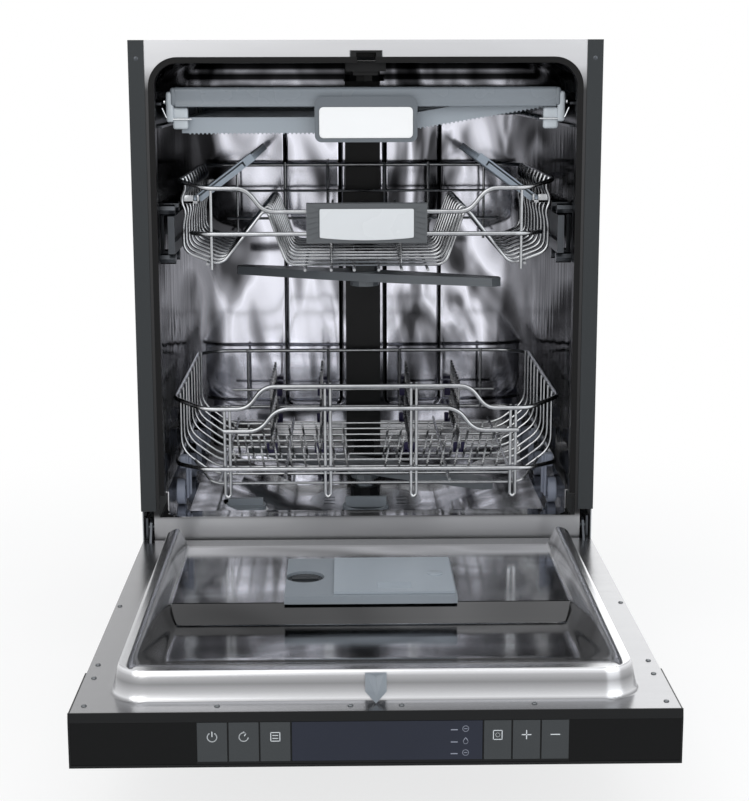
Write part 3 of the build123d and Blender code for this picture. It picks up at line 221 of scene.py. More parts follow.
def make_metals():
    # Painted reflections: dark and light bands in the colour of the tub's side walls
    tub = levels((0.34, 0.09), (0.46, 0.16), (0.5, 0.74), (0.52, 0.24), (0.62, 0.1), (0.68, 0.5),
                 (0.72, 0.14))
    # Painted reflections: dark and light bands in the colour of the tub's back
    back = levels((0.28, 0.08), (0.38, 0.26), (0.46, 0.6), (0.52, 0.94), (0.58, 0.86), (0.66, 0.4),
                  (0.72, 0.2), tint=lilac)
    # The back's top: a painted shadow of the ceiling, and painted reflections in bright and dark stripes
    top = levels((0.0, 1.0), (0.12, 0.3), (0.26, 0.12), (0.34, 0.98), (0.42, 0.9), (0.5, 0.16),
                 (0.64, 0.08), (0.76, 0.6), (0.84, 0.1), (1.0, 0.04))
    # Painted reflections: dark and light bands in the colour of the tub's floor
    floor = levels((0.3, 0.24), (0.45, 0.5), (0.55, 0.84), (0.7, 0.34))
    # Painted reflections: a mostly dark copy of the tub's steel for its ceiling, with a bright streak
    ceiling = levels((0.36, 0.06), (0.48, 0.2), (0.53, 0.6), (0.58, 0.22), (0.68, 0.1))
    # Painted reflections: the recess takes its own copy of the liner's steel, with light and dark patches
    recess = levels((0.32, 0.5), (0.5, 0.84), (0.68, 0.58))
    # Painted shade: the slope behind the recess takes a darker copy of the recess steel
    slope = levels((0.3, 0.17), (0.7, 0.26))
    # The liner's flange and rim, with light and shade painted by height: darker half way up the rim as
    # painted shade, and pale at its edge as a painted highlight
    rim = levels((0.0, 0.56), (0.08, 0.58), (0.16, 0.84), (0.34, 0.72), (0.6, 0.54), (0.82, 0.68),
                 (0.95, 0.9), (1.0, 0.76))
    # The cabinet's front, with light and shade painted by height: pale on top, shaded at the sides, mid grey
    # at the sill
    front = levels((0.0, 0.56), (0.066, 0.66), (0.075, 0.2), (0.9, 0.26), (0.945, 0.74), (1.0, 0.78))
    return {
        "tub": mirror_steel("tub_steel", (1, 1, 0.05), 19.0, tub, edge=0.24),
        "tub_back": mirror_steel("tub_back_steel", (1.5, 1, 0.5), 5.0, back, distortion=1.4,
                                 heights=(742, 789, top)),
        "tub_floor": mirror_steel("tub_floor_steel", (0.5, 1, 1), 8.0, floor),
        "ceiling": mirror_steel("tub_ceiling_steel_painted_reflections", (0.1, 1, 1), 18.0, ceiling, edge=0.3),
        "recess": mirror_steel("door_recess_steel_painted_reflections", (0.6, 1.4, 1), 5.0, recess, (0.1, 0.14), 0.0001),
        "slope": mirror_steel("door_slope_steel_painted_shade", (0.6, 1.4, 1), 5.0, slope, (0.12, 0.16), 0.0001),
        "door": brushed_steel("door_steel", 166, 198, rim, 160.0, (0.1, 1, 1), (0.2, 0.25), 0.000003),
        "frame": brushed_steel("frame_steel", 150, 820, front, 140.0, (0.08, 1, 1), (0.3, 0.36), 0.000004),
        "panel_steel": metal("painted_steel", "9da0a3", (0.36, 0.42), (0.2, 1, 1), 90.0, 0.03),
        "casing": metal("galvanised", "a2a6a9", (0.42, 0.6), scale=22.0, variation=0.13, depth=0.00003),
        "bright": metal("bright_steel", "c6c9cc", (0.14, 0.24), (1, 1, 0.2), 60.0, 0.05),
        "slide": metal("slide_steel", "4c4f53", (0.3, 0.36), (1, 0.2, 1), 60.0, 0.06),
        "wire": metal("wire", "a5a7aa", (0.2, 0.28), scale=90.0, variation=0.09),
        "tine": metal("tine_wire", "98999c", (0.22, 0.3), scale=90.0),
        "spring": metal("spring_steel", "6a6d70", (0.3, 0.42)),
    }


def make_plastics():
    return {
        "strip": plastic("dark_strip", "303335", (0.44, 0.5), specular=0.2),
        "mat": plastic("sound_mat", "2a2b2c", (0.6, 0.7), 160.0, 0.0003, 0.1, 0.3),
        "seal": plastic("seal_rubber", "060607", (0.3, 0.38), 500.0, 0.00005, specular=0.2),
        "black": plastic("black_plastic", "121315", (0.3, 0.38), specular=0.25),
        "base": plastic("base_plastic", "1b1d1f", (0.5, 0.6), 500.0, 0.00006),
        "grey": plastic("grey_plastic", "7f868d", (0.32, 0.38)),
        "light": plastic("light_grey_plastic", "99a1a9", (0.28, 0.34)),
        "bar": plastic("tray_bar_plastic", "7f868d", (0.24, 0.3)),
        "rail": plastic("tray_handle_plastic", "646a70", (0.28, 0.34)),
        "shelf": plastic("cup_shelf_plastic", "8b95a0", (0.26, 0.32)),
        "arm": plastic("spray_arm_plastic", "6d7277", (0.3, 0.36)),
        "dark": plastic("dark_grey_plastic", "303336", (0.34, 0.4), specular=0.3),
        "handle": plastic("handle_plastic", "56595c", (0.4, 0.46), specular=0.3),
        "plate": plastic("handle_plate", "d3d6d9", (0.24, 0.3), 700.0, 0.00001, 0.015),
        "white": plastic("white_plastic", "f2f3f4", (0.2, 0.26), 700.0, 0.00001, 0.01),
        "clear": plastic("pale_plastic", "c3cad0", (0.16, 0.22)),
        "navy": plastic("navy_plastic", "262244", (0.36, 0.44), specular=0.3),
        "wheel": plastic("wheel_plastic", "858b9a", (0.34, 0.42)),
        "fascia": plastic("fascia_black", "151617", (0.3, 0.36), 800.0, 0.00002, specular=0.16),
        "panel": plastic("fascia_gloss", "08090a", (0.06, 0.1), 300.0, 0.000002, specular=0.14),
        "key": plastic("key_grey", "393c3e", (0.32, 0.38), depth=0.00002, specular=0.2),
        "icon": plastic("icon_print", "c9cdd1", (0.4, 0.46), 700.0, 0.00001, 0.02),
        "faint_icon": plastic("display_print", "8d92a0", (0.4, 0.46), 700.0, 0.00001, 0.02),
        "display": plastic("display_glass", "232733", (0.05, 0.08), 200.0, 0.000002, 0.08, 0.2),
        "concrete": plastic("concrete", "8b8c8a", (0.7, 0.85), 260.0, 0.0004, 0.16),
        "board": plastic("board_green", "2a6a40", (0.3, 0.4), 600.0),
    }


looks = {**make_metals(), **make_plastics()}


# Mesh helpers
sharp_angle = math.radians(38)
corner_steps = 5


def new_piece(name, mesh_maker, look, body, replaced=(), smooth=True, inlay=()):
    """inlay lists more looks, each with the test that says which face centres take it."""
    mesh = bpy.data.meshes.new(name)
    bm = bmesh.new()
    mesh_maker(bm)
    bmesh.ops.recalc_face_normals(bm, faces=bm.faces)
    bm.to_mesh(mesh)
    bm.free()
    for polygon in mesh.polygons:
        polygon.use_smooth = smooth
    mesh.materials.append(looks[look])
    for index, (other, test) in enumerate(inlay, 1):
        mesh.materials.append(looks[other])
        for polygon in mesh.polygons:
            if polygon.material_index == 0 and test(*place_of(polygon.center)):
                polygon.material_index = index
    piece = new_object(name, mesh)
    if smooth:
        mesh.set_sharp_from_angle(angle=sharp_angle)
    if replaced:
        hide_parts(*replaced)
    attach(piece, body)


def band(bm, first, second):
    """Faces between two rings of as many points."""
    for quad in zip(first, first[1:] + first[:1], second[1:] + second[:1], second):
        bm.faces.new(quad)


def prism(bm, near, far):
    """A closed body between two outlines of as many points."""
    rings = [[bm.verts.new(spot) for spot in outline] for outline in (near, far)]
    bm.faces.new(rings[0])
    bm.faces.new(rings[1][::-1])
    band(bm, *rings)


def rounded_path(points, bend, closed=False):
    """The route with each corner rounded by a short curve."""
    spots = [Vector(p) for p in points]
    count = len(spots)
    path = []
    for i, spot in enumerate(spots):
        if not closed and i in (0, count - 1):
            path.append(spot)
            continue
        before = spots[i - 1] - spot
        after = spots[(i + 1) % count] - spot
        cut = min(bend, before.length * 0.48, after.length * 0.48)
        start = spot + before.normalized() * cut
        end = spot + after.normalized() * cut
        for k in range(corner_steps + 1):
            t = k / corner_steps
            path.append(start * (1 - t) ** 2 + spot * 2 * t * (1 - t) + end * t ** 2)
    return path


def sweep(bm, path, radius, sides, closed=False, lobe=0.0, pitch=None):
    """A tube along a path; lobe and pitch make it a twisted square bar."""
    spots = [at(*p) for p in path]
    count = len(spots)
    tangents = []
    for i in range(count):
        before = spots[i] - spots[i - 1] if (i > 0 or closed) else spots[1] - spots[0]
        after = spots[(i + 1) % count] - spots[i] if (i < count - 1 or closed) else before
        tangents.append((before.normalized() + after.normalized()).normalized())
    helper = Vector((0, 0, 1)) if abs(tangents[0].z) < 0.8 else Vector((0, 1, 0))
    normal = (helper - tangents[0] * helper.dot(tangents[0])).normalized()
    rings = []
    travelled = 0.0
    for i, (spot, tangent) in enumerate(zip(spots, tangents)):
        if i:
            travelled += (spot - spots[i - 1]).length
            normal = (normal - tangent * normal.dot(tangent)).normalized()
        side = tangent.cross(normal)
        turn = 2 * math.pi * travelled / (pitch * milli) if pitch else 0.0
        ring = []
        for k in range(sides):
            angle = 2 * math.pi * k / sides
            reach = radius * milli * (1 + lobe * math.cos(4 * angle))
            out = normal * math.cos(angle + turn) * reach + side * math.sin(angle + turn) * reach
            ring.append(bm.verts.new(spot + out))
        rings.append(ring)
    for first, second in zip(rings, rings[1:]):
        band(bm, first, second)
    if closed:
        band(bm, rings[-1], rings[0])
    else:
        bm.faces.new(rings[0])
        bm.faces.new(rings[-1][::-1])


def soft_box(bm, x0, x1, y0, y1, z0, z1, ease, segments=2):
    """A box with rounded edges. x0 and x1 come in either order, for boxes on the left."""
    x0, x1 = sorted((x0, x1))
    verts = bmesh.ops.create_cube(bm, size=1.0)["verts"]
    size = Vector((x1 - x0, y1 - y0, z1 - z0)) * milli
    middle = at((x0 + x1) / 2, (y0 + y1) / 2, (z0 + z1) / 2)
    for v in verts:
        v.co = Vector((v.co.x * size.x, v.co.y * size.y, v.co.z * size.z)) + middle
    edges = list(dict.fromkeys(e for v in verts for e in v.link_edges))
    bmesh.ops.bevel(bm, geom=edges, offset=ease * milli, segments=segments, affect="EDGES", profile=0.5)


def box_pairs(bm, *boxes):
    """Soft boxes on the right, and their mirror images."""
    for side in both_sides:
        for x0, x1, *rest in boxes:
            soft_box(bm, side * x0, side * x1, *rest)


def lathe(bm, profile, centre, axis, segments=28):
    """profile holds (radius, distance along the axis) pairs."""
    axis = Vector(axis).normalized()
    helper = Vector((0, 0, 1)) if abs(axis.z) < 0.8 else Vector((1, 0, 0))
    first = axis.cross(helper).normalized()
    second = axis.cross(first)
    rings = []
    for radius, along in profile:
        spot = at(*centre) + axis * along * milli
        if radius < 1e-6:
            rings.append([bm.verts.new(spot)])
            continue
        ring = []
        for k in range(segments):
            angle = 2 * math.pi * k / segments
            out = (first * math.cos(angle) + second * math.sin(angle)) * radius * milli
            ring.append(bm.verts.new(spot + out))
        rings.append(ring)
    for low, high in zip(rings, rings[1:]):
        if len(low) == len(high):
            band(bm, low, high)
            continue
        tip, ring = sorted((low, high), key=len)
        for k in range(segments):
            bm.faces.new((tip[0], ring[k], ring[(k + 1) % segments]))


def lathe_pair(bm, profile, centre, axis, segments=28):
    """A turned body on the right, and its mirror image."""
    for side in both_sides:
        lathe(bm, profile, (side * centre[0], *centre[1:]), (side * axis[0], *axis[1:]), segments)


def extrude_outline(bm, outline, y0, y1, hole=None):
    """A plate between y0 and y1 with the outline (x, z), and a hole of as many points if given."""
    if not hole:
        prism(bm, *[[at(x, y, z) for x, z in outline] for y in (y0, y1)])
        return
    rings = [[bm.verts.new(at(x, y, z)) for x, z in edge] for y in (y0, y1) for edge in (outline, hole)]
    outer_near, inner_near, outer_far, inner_far = rings
    for first, second in ((outer_near, inner_near), (outer_far, inner_far), (outer_near, outer_far),
                          (inner_near, inner_far)):
        band(bm, first, second)


def rounded_outline(x0, x1, z0, z1, corner, steps=8, bow=0.0):
    """Points round a rectangle with round corners; bow lets the lower edge hang down in the middle."""
    points = []
    left = x0 + corner
    right = x1 - corner
    low = z0 + corner
    high = z1 - corner
    parts = 12
    for cx, cz, start in ((right, high, 0), (left, high, 90), (left, low, 180), (right, low, 270)):
        for i in range(steps + 1):
            angle = math.radians(start + 90 * i / steps)
            points.append((cx + corner * math.cos(angle), cz + corner * math.sin(angle)))
        if start == 180:
            for i in range(1, parts):
                t = i / parts
                points.append((left + (x1 - x0 - 2 * corner) * t, z0 - bow * 4 * t * (1 - t)))
    return points


def smoothstep(value):
    t = max(0.0, min(1.0, value))
    return t * t * (3 - 2 * t)


def soft_max(a, b, ease):
    t = max(ease - abs(a - b), 0.0) / ease
    return max(a, b) + t * t * ease / 4


def soft_min(a, b, ease):
    return -soft_max(-a, -b, ease)


def inside_rounded(x, y, half_x, y0, y1, corner):
    """Distance in from the edge of a rounded rectangle, negative outside it."""
    middle = (y0 + y1) / 2
    dx = abs(x) - (half_x - corner)
    dy = abs(y - middle) - ((y1 - y0) / 2 - corner)
    outside = math.hypot(max(dx, 0.0), max(dy, 0.0)) + min(max(dx, dy), 0.0)
    return corner - outside


# Wires of both baskets
rim_radius = 3.0
rim_sides = 12
rim_bend = 14.0
wire_radius = 2.0
tine_radius = 1.75
tine_twist = 9.0
tine_step = 2.4


def mirrored(half_route):
    """A route that runs through the given half and back through its mirror image."""
    return half_route + [(-x, y, z) for x, y, z in reversed(half_route)]


def wire(bm, points, bend=0.0, radius=wire_radius, sides=8):
    """A wire through the points, its corners rounded where bend is given."""
    sweep(bm, rounded_path(points, bend) if bend else points, radius, sides)


def basket_rim(bm, ends, half, back, front, z, dip):
    """A closed rim at z between the ends in y.

    back and front tell where their corners start in x, and how far these reach along the sides. dip
    holds the points (x, z) that the front runs through in one half."""
    y0, y1 = ends
    route = [(back[0], y1, z), (half, y1 - back[1], z), (half, y0 + front[1], z), (front[0], y0, dip[0][1])]
    route += [(x, y0, level) for x, level in dip]
    sweep(bm, rounded_path(mirrored(route), rim_bend, closed=True), rim_radius, rim_sides, closed=True)


def twisted(bm, start, end):
    """A tine of twisted bar."""
    start = Vector(start)
    end = Vector(end)
    count = max(2, round((end - start).length / tine_step))
    path = [start.lerp(end, i / count) for i in range(count + 1)]
    sweep(bm, path, tine_radius, 12, lobe=0.1, pitch=tine_twist)


# Lower basket
lower_y = (19.0, 449.0)
lower_half = 257.0
lower_floor_half = 206.0
lower_rim_z = 347.0
lower_floor_z = 236.5
lower_frame_z = 257.5
lower_cross = (82.0, 124.0, 166.0, 202.0, 250.0, 292.0, 334.0, 376.0, 418.0)
back_rail_z = 286.0
fold_x = (-135.0, -64.0, 64.0, 135.0)
axle_y = (199.0, 429.6)
axle_z = 246.3
clip_places = (202.0, 418.0)
post_y = 428.0
wheel_places = (68.0, 226.0, 401.0)
wheel_x = 251.5
wheel_z = 215.8


def lower_wires(bm):
    """The lower basket: rim, frame wire, cross wires, front hoops, uprights, rails and fixed tines."""
    y0, y1 = lower_y
    rim = lower_rim_z
    floor = lower_floor_z
    corners = ((223, 27), (214, 38))
    basket_rim(bm, lower_y, lower_half, *corners, rim, [(158, rim - 8), (136, rim + 22)])
    basket_rim(bm, lower_y, lower_half - 1, *corners, lower_frame_z, [(150, lower_frame_z)])
    second_low = rim - 38
    second_high = rim - 8
    second = [(-190, y0, second_low), (-142, y0, second_low), (-120, y0, second_high), (120, y0, second_high),
              (142, y0, second_low), (201, y0, second_low)]
    wire(bm, second, 16, rim_radius, rim_sides)
    wall = lower_half - rim_radius - wire_radius
    for y in lower_cross:
        half_route = [(-wall, y, rim + 3), (-wall, y, floor + 34), (-lower_floor_half, y, floor)]
        wire(bm, mirrored(half_route), 18)
    front_y = y0 + rim_radius + wire_radius
    back_y = y1 - rim_radius - wire_radius
    rail_y = back_y - 2 * wire_radius
    # Narrow hoops in front, each of two uprights with a bent end under the floor
    hoop_half = 3.5
    hoop_z = floor - 15
    for x, top in ((-185, rim - 4), (-52, rim + 26), (62, rim + 26), (194, rim - 4)):
        for upright in (x - hoop_half, x + hoop_half):
            wire(bm, [(upright, front_y, top), (upright, front_y, hoop_z)])
        end = [(x - hoop_half, front_y, hoop_z), (x, front_y, hoop_z - 4), (x + hoop_half, front_y, hoop_z)]
        wire(bm, end, 3)
    for x in (-181, -55, 57, 184):
        wire(bm, [(x, back_y, rim + 4), (x, back_y, lower_frame_z - 3)])
    wire(bm, [(-205, rail_y, back_rail_z), (205, rail_y, back_rail_z)])
    along_z = floor + 2 * wire_radius
    for x in (-196, -110, 110, 196):
        wire(bm, [(x, y0 + 8, along_z), (x, y1 - 8, along_z)])
    wire(bm, mirrored([(-232, front_y + 38, floor + 24), (-lower_floor_half, front_y + 4.5, floor)]), 14)
    for y in (lower_cross[0] + 3.6, lower_cross[2] + 3.6):
        for side in both_sides:
            for i in range(9):
                x = side * (24 + i * 19)
                twisted(bm, (x, y, floor - 1), (x + side * 9, y, floor + 52))


def tine_wires(number):
    """A folding row: its axle, the tines on it and the post that the lock on the back rail holds."""
    x = fold_x[number]
    foot = axle_z + wire_radius - 1

    def make(bm):
        wire(bm, [(x, y, axle_z) for y in axle_y], sides=10)
        start = 212 + (number % 2) * 12
        for i in range(8):
            y = start + i * 24
            twisted(bm, (x, y, foot), (x, y, foot + 93))
        wire(bm, [(x, post_y, foot), (x, post_y, back_rail_z + 9)], radius=tine_radius, sides=10)
    return make


def clips_mesh(bm):
    """Clips on the basket's floor that hold the folding rows' axles, and the locks for their posts."""
    slot = 2.5
    clip_half = 8
    foot_z = lower_floor_z + 2.1
    lock = (back_rail_z - 7, back_rail_z + 7)
    for x in fold_x:
        for y in clip_places:
            for side in both_sides:
                soft_box(bm, x + side * slot, x + side * 9, y - 3, y + 3, foot_z, axle_z + 7, 1.4, 3)
            soft_box(bm, x - clip_half, x + clip_half, y - 3, y + 3, foot_z, axle_z - slot, 0.8)
        outward = math.copysign(1, x)
        soft_box(bm, x - clip_half, x + clip_half, 424.0, 425.8, *lock, 0.7)
        soft_box(bm, x - clip_half, x + clip_half, 430.2, 438.0, *lock, 1.6, 3)
        soft_box(bm, x + outward * 2.2, x + outward * clip_half, 424.4, 432.0, *lock, 0.8)


def wheel_mesh(y):
    """Both wheels of one pair: a rim, a web that is thinner than the rim, and a hub with a bore."""
    radius = 17.5
    half = 6.0
    bore = 4.3
    section = [(bore, half), (7.5, half), (7.5, half - 2.5), (13.2, half - 3.2), (14.2, half - 0.6),
               (16.2, half), (radius, half - 1.3)]
    profile = [(out, -along) for out, along in section] + section[::-1] + [(bore, -half)]

    def make(bm):
        lathe_pair(bm, profile, (wheel_x, y, wheel_z), (1, 0, 0), 40)
    return make


def carriers_mesh(bm):
    """The wheels' carriers: a ribbed plate that clips over the basket's frame wire, with its axle."""
    inner = 244.0
    top = lower_frame_z + 9
    axle = [(0, -1), (4.0, -1), (4.0, 12.6), (3.2, 13.4), (0, 13.4)]
    for y in wheel_places:
        plate = (inner - 3, inner + 1, y - 8, y + 8, wheel_z - 8, top, 1.8, 3)
        rib = (inner - 6.5, inner - 2.4, y - 1.6, y + 1.6, wheel_z - 4, lower_frame_z + 6, 0.7)
        clip = (inner, inner + 9, y - 8, y + 8, lower_frame_z - 8, top, 1.8, 3)
        box_pairs(bm, plate, rib, clip)
        lathe_pair(bm, axle, (inner, y, wheel_z), (1, 0, 0), 24)


# Upper basket, with the valleys and the ridges of its floor to each side of a flat middle
upper_y = (9.0, 435.0)
upper_half = 244.0
upper_rim_z = 637.0
upper_floor_z = 526.5
upper_wall_foot = 18.0
upper_middle_half = 104.0
upper_ridge = (130.5, 602.0)
upper_valley = 190.0
upper_edge = 208.0
slide_mid_z = 567.5
shelf_pivot = (223.0, 613.0)
# How far the side wires bend inward, and at what height
side_waves = ((0.0, 640.0), (4.5, 628.0), (-3.0, 612.0), (4.0, 596.0), (0.0, 580.0))


def upper_wires(bm):
    """The upper basket: rim, uprights, rails, the bent cross wires, two rows of tines and the long wires."""
    y0, y1 = upper_y
    rim = upper_rim_z
    floor = upper_floor_z
    edge = upper_edge
    basket_rim(bm, upper_y, upper_half, (212, 28), (206, 34), rim, [(155, rim - 8), (132, rim - 38)])
    second_z = rim - 66.5
    wire(bm, mirrored([(-228, y0 + 26, second_z), (-206, y0, second_z)]), 16, rim_radius, rim_sides)
    back_y = y1 - rim_radius - wire_radius
    rail_y = back_y - 2 * wire_radius
    for x in (-192, -119, -54, 33, 100, 185):
        wire(bm, [(x, back_y, rim + 4), (x, back_y, floor - 2)])
    wire(bm, [(-edge, rail_y, rim - 39), (edge, rail_y, rim - 39)])
    for start, end in ((-edge, -30), (30, edge)):
        wire(bm, [(start, rail_y, rim - 81), (end, rail_y, rim - 81)])
    for x in (-200, 200):
        wire(bm, [(x, y0 + 5, rim - 5), (x, y0 + 5, floor - 2)])
    wall = upper_half - rim_radius - wire_radius
    ridge, ridge_z = upper_ridge
    first_y = 48
    last_y = 402
    gaps = 9
    for i in range(gaps + 1):
        y = first_y + i * (last_y - first_y) / gaps
        half_route = [(-wall + push, y, z) for push, z in side_waves]
        half_route += [(-wall, y, floor + upper_wall_foot), (-upper_valley, y, floor), (-ridge, y, ridge_z),
                       (-upper_middle_half, y, floor)]
        wire(bm, mirrored(half_route), 13)
    for side in both_sides:
        for i in range(13):
            y = 58 + i * 26.0
            twisted(bm, (side * 46, y, floor - 4), (side * 46, y, floor + 62))
    for x in (-80, -46, -16, 16, 46, 80):
        wire(bm, [(x, y0 + 11, floor - 4), (x, rail_y - 3, floor - 4)])
    # The outer two lie against the slope between the valleys and the side walls
    slope = upper_wall_foot * (edge - upper_valley) / (wall - upper_valley)
    edge_z = floor + slope - 4.2
    for x in (-edge, edge):
        wire(bm, [(x, y0 + 30, edge_z), (x, rail_y - 3, edge_z)])
    hangers(bm)


def hangers(bm):
    """The plates with rollers that ride on the slides, and the lugs that carry the cup shelves."""
    outer = upper_half + rim_radius
    roller = [(0, 0), (8.4, 0), (9.2, 0.8), (9.2, 6.6), (8.4, 7.4), (0, 7.4)]
    for y in (300, 380):
        box_pairs(bm, (outer, outer + 1.6, y - 12, y + 12, slide_mid_z - 8, upper_rim_z + 2, 0.5))
        lathe_pair(bm, roller, (outer + 1, y, slide_mid_z), (1, 0, 0))
    pivot_x, pivot_z = shelf_pivot
    inner = pivot_x - 5
    reach = 241
    for y in (50.0, 393.0):
        for x0, x1, top in ((inner, inner + 2.5, 5), (pivot_x + 2.5, reach, 5), (inner, reach, -2.5)):
            box_pairs(bm, (x0, x1, y, y + 7, pivot_z - 6, pivot_z + top, 0.4))


shelf_angle = 37.0
shelf_reach = 95.0
shelf_y = (57.3, 392.7)


def cup_shelf_mesh(side):
    """A comb-edged shelf: a thin slotted plate with upright end flanges, cross ribs and a round spine."""
    tilt = math.radians(shelf_angle)
    first, last = shelf_y
    pivot_x, pivot_z = shelf_pivot

    def place(out, up):
        """A point at a distance out from the pivot along the plate, and up from its plane."""
        x = pivot_x - out * math.cos(tilt) + up * math.sin(tilt)
        z = pivot_z + out * math.sin(tilt) + up * math.cos(tilt)
        return side * x, z

    def slab(bm, out0, out1, y0, y1, up0, up1):
        corners = [place(out0, up0), place(out1, up0), place(out1, up1), place(out0, up1)]
        extrude_outline(bm, corners, y0, y1)

    def make(bm):
        teeth = 14
        pitch = (last - first) / teeth
        flange = 2.2
        slab(bm, 3.0, shelf_reach - 16, first, last, -0.8, 1.0)
        for i in range(teeth):
            y = first + (i + 0.5) * pitch
            slab(bm, shelf_reach - 17, shelf_reach, y - 5.0, y + 5.0, -0.8, 1.0)
            slab(bm, 6.0, shelf_reach - 1.5, y - 1.0, y + 1.0, -7.0, -0.6)
        for y in (first, last - flange):
            slab(bm, 3.0, shelf_reach - 2, y, y + flange, -7.5, 3.0)
        slab(bm, shelf_reach - 18.5, shelf_reach - 16.5, first, last, -6.0, 0.0)
        for past, radius, sides in ((0.0, 4.0, 20), (7.0, 2.0, 14)):
            spine = [(side * pivot_x, first - past, pivot_z), (side * pivot_x, last + past, pivot_z)]
            sweep(bm, spine, radius, sides)
    return make


def handle_facets(bm):
    """Sloping facets at both ends of the upper handle, with fine diagonal grooves between narrow ribs."""
    front = -14.4
    low_inner, high_inner = (61.5, 569.0), (61.5, 603.2)
    low_outer, high_outer = (76.4, 562.2), (76.4, 610.2)
    for side in both_sides:
        corners = [(low_outer, 0.4), (low_inner, -0.9), (high_inner, -0.9), (high_outer, 0.4)]
        near = [at(side * x, front + back, z) for (x, z), back in corners]
        far = [at(side * x, front + 1.2, z) for (x, z), _ in corners]
        prism(bm, near, far)
        for i in range(5):
            z = 571.0 + i * 7.0
            start = (side * 75.0, front - 0.1, z)
            end = (side * 62.5, front - 1.0, z + 4.0 - i * 0.5)
            sweep(bm, [start, end], 0.45, 6)


def upper_plate_mesh(bm):
    """The upper handle's pale plate: two layers whose lower edges hang a little in the middle."""
    extrude_outline(bm, rounded_outline(-60.0, 60.0, 567.6, 604.4, 2.0, 4, 3.0), -14.9, -13.4)
    extrude_outline(bm, rounded_outline(-59.2, 59.2, 568.4, 603.6, 1.6, 4, 3.0), -15.2, -14.8)


def slide_caps(bm):
    """Rounded caps on the front ends of the telescopic slides."""
    box_pairs(bm, (249.5, 257.0, 29.9, 31.0, slide_mid_z - 16, slide_mid_z + 16, 0.5))


# Cutlery tray
tray_half = 251.5
tray_front_y = 34.0
tray_rear_y = 450.0
tray_top = 756.5
tray_low = 731.5
# Where an insert turns, the right one's tilt, and where its comb starts and ends in its own frame
insert_pivot = (30.0, 718.0)
insert_tilt = 9.4
comb_start = 9.0
comb_top = -19.5
comb_tip = -21.6


def bar_profile():
    """Section of the tray's front bar: a rounded top edge, a slightly hollow face and a lip under it."""
    front = tray_front_y
    ease = 5
    steps = 8
    points = [(front + 14, tray_low), (front + 14, tray_top)]
    for i in range(steps + 1):
        angle = math.radians(90 + 90 * i / steps)
        points.append((front + ease + ease * math.cos(angle), tray_top - ease + ease * math.sin(angle)))
    points += [(front + 0.9, tray_top - 8), (front + 1.3, tray_low + 9), (front + 0.9, tray_low + 4)]
    points += [(front, tray_low + 2.6), (front, tray_low + 1.0), (front + 1.0, tray_low)]
    return points


def tray_frame_mesh(bm):
    """The front bar with its rounded ends, the rails, the ledges, the shoes and the inserts' hinge lugs."""
    half = tray_half
    foot = tray_low - 20
    front = tray_front_y + 13
    rear = tray_rear_y - 9
    prism(bm, *[[at(x, y, z) for y, z in bar_profile()] for x in (-half + 7, half - 7)])
    bar_end = (half - 9, half, tray_front_y + 1.2, tray_front_y + 14, tray_low + 1, tray_top - 0.4, 3.5, 4)
    side_rail = (half - 10, half - 4, front, rear + 1, foot, tray_low + 14, 1.2)
    ledge = (232.0, half - 9, 60, 428, foot, 715.8, 1.0)
    middle_rail = (22.0, 26.7, front, rear, foot, tray_low, 1.0)
    shoes = [(246.5, 269.7, y - 12, y + 12, 708.5, 733.5, 1.5) for y in (tray_rear_y - 44, tray_rear_y - 110)]
    lugs = [(26.0, 33.5, y0, y1, 711, 717, 0.8) for y0, y1 in ((front, 49.7), (438.3, rear))]
    box_pairs(bm, bar_end, side_rail, ledge, middle_rail, *shoes, *lugs)
    soft_box(bm, -half + 6, half - 6, tray_rear_y - 10, tray_rear_y, foot, tray_low + 14, 1.5)


def tray_handle_mesh(bm):
    """The handle's frame: a rounded border that hangs in front of the bar, with a web behind the plate."""
    outer = rounded_outline(-66, 66, 686.5, 744.5, 9)
    inner = rounded_outline(-60.8, 60.8, 691.2, 731.8, 6)
    extrude_outline(bm, outer, 28.2, 34.2, inner)
    extrude_outline(bm, rounded_outline(-62, 62, 690, 733, 6), 30.2, 33.4)


def tray_plate_mesh(bm):
    """The tray handle's white plate: two layers, the front one smaller."""
    extrude_outline(bm, rounded_outline(-60.2, 60.2, 691.8, 731.2, 5.5), 28.8, 30.4)
    extrude_outline(bm, rounded_outline(-59.4, 59.4, 692.6, 730.4, 5.0), 28.4, 28.9)


def tray_ends(bm):
    """Pale end caps of the tray's bar, each with a lug that reaches inward under it."""
    box_pairs(bm, (247.0, 257.0, 36, 47, 712, 751, 3.5, 4), (229.0, 249.0, 40, 47, 703, 731, 3.3, 4))


def tray_pins(bm):
    """Bright bent pins through the tray's end caps."""
    y = 38
    for side in both_sides:
        wire(bm, [(side * 262.0, y, 730), (side * 256.0, y, 716), (side * 224.0, y, 716)], 4, 1.3, 10)
    lathe_pair(bm, [(0, -1), (3.2, -1), (3.2, 1), (0, 1)], (258.5, y, 738), (1, 0, 0), 20)


def insert_teeth(side, tilt):
    """The fine comb along the lower edge of a tray insert's front wall."""
    lean = math.radians(tilt)
    hinge_x, hinge_z = insert_pivot

    def place(u, w):
        x = hinge_x + u * math.cos(lean) - w * math.sin(lean)
        return side * x, hinge_z + u * math.sin(lean) + w * math.cos(lean)

    def make(bm):
        for i in range(35):
            u = comb_start + i * 5.5
            outline = [place(u, comb_top), place(u + 3.2, comb_top), place(u + 2.4, comb_tip),
                       place(u + 0.8, comb_tip)]
            extrude_outline(bm, outline, 50.2, 51.8)
    return make


# Tub: sheets of pressed steel
tub_half = 272.0
tub_top = 788.0
tub_corner = 34.0
tub_front_y = 17.9
tub_back_y = 480.0
tub_low_z = 228.0
tub_sheet = 1.2
latch_notch_half = 21.0
latch_notch_end = 20.9
panel_inner = 33.0
panel_outer = 122.0
panel_low = 252.0
panel_high = 738.0
# Beads pressed into the side walls: how far they stand in, their spacing, rise and share of the width
bead_height = 1.1
bead_spacing = 62.0
bead_rise = 0.55
bead_share = 0.11


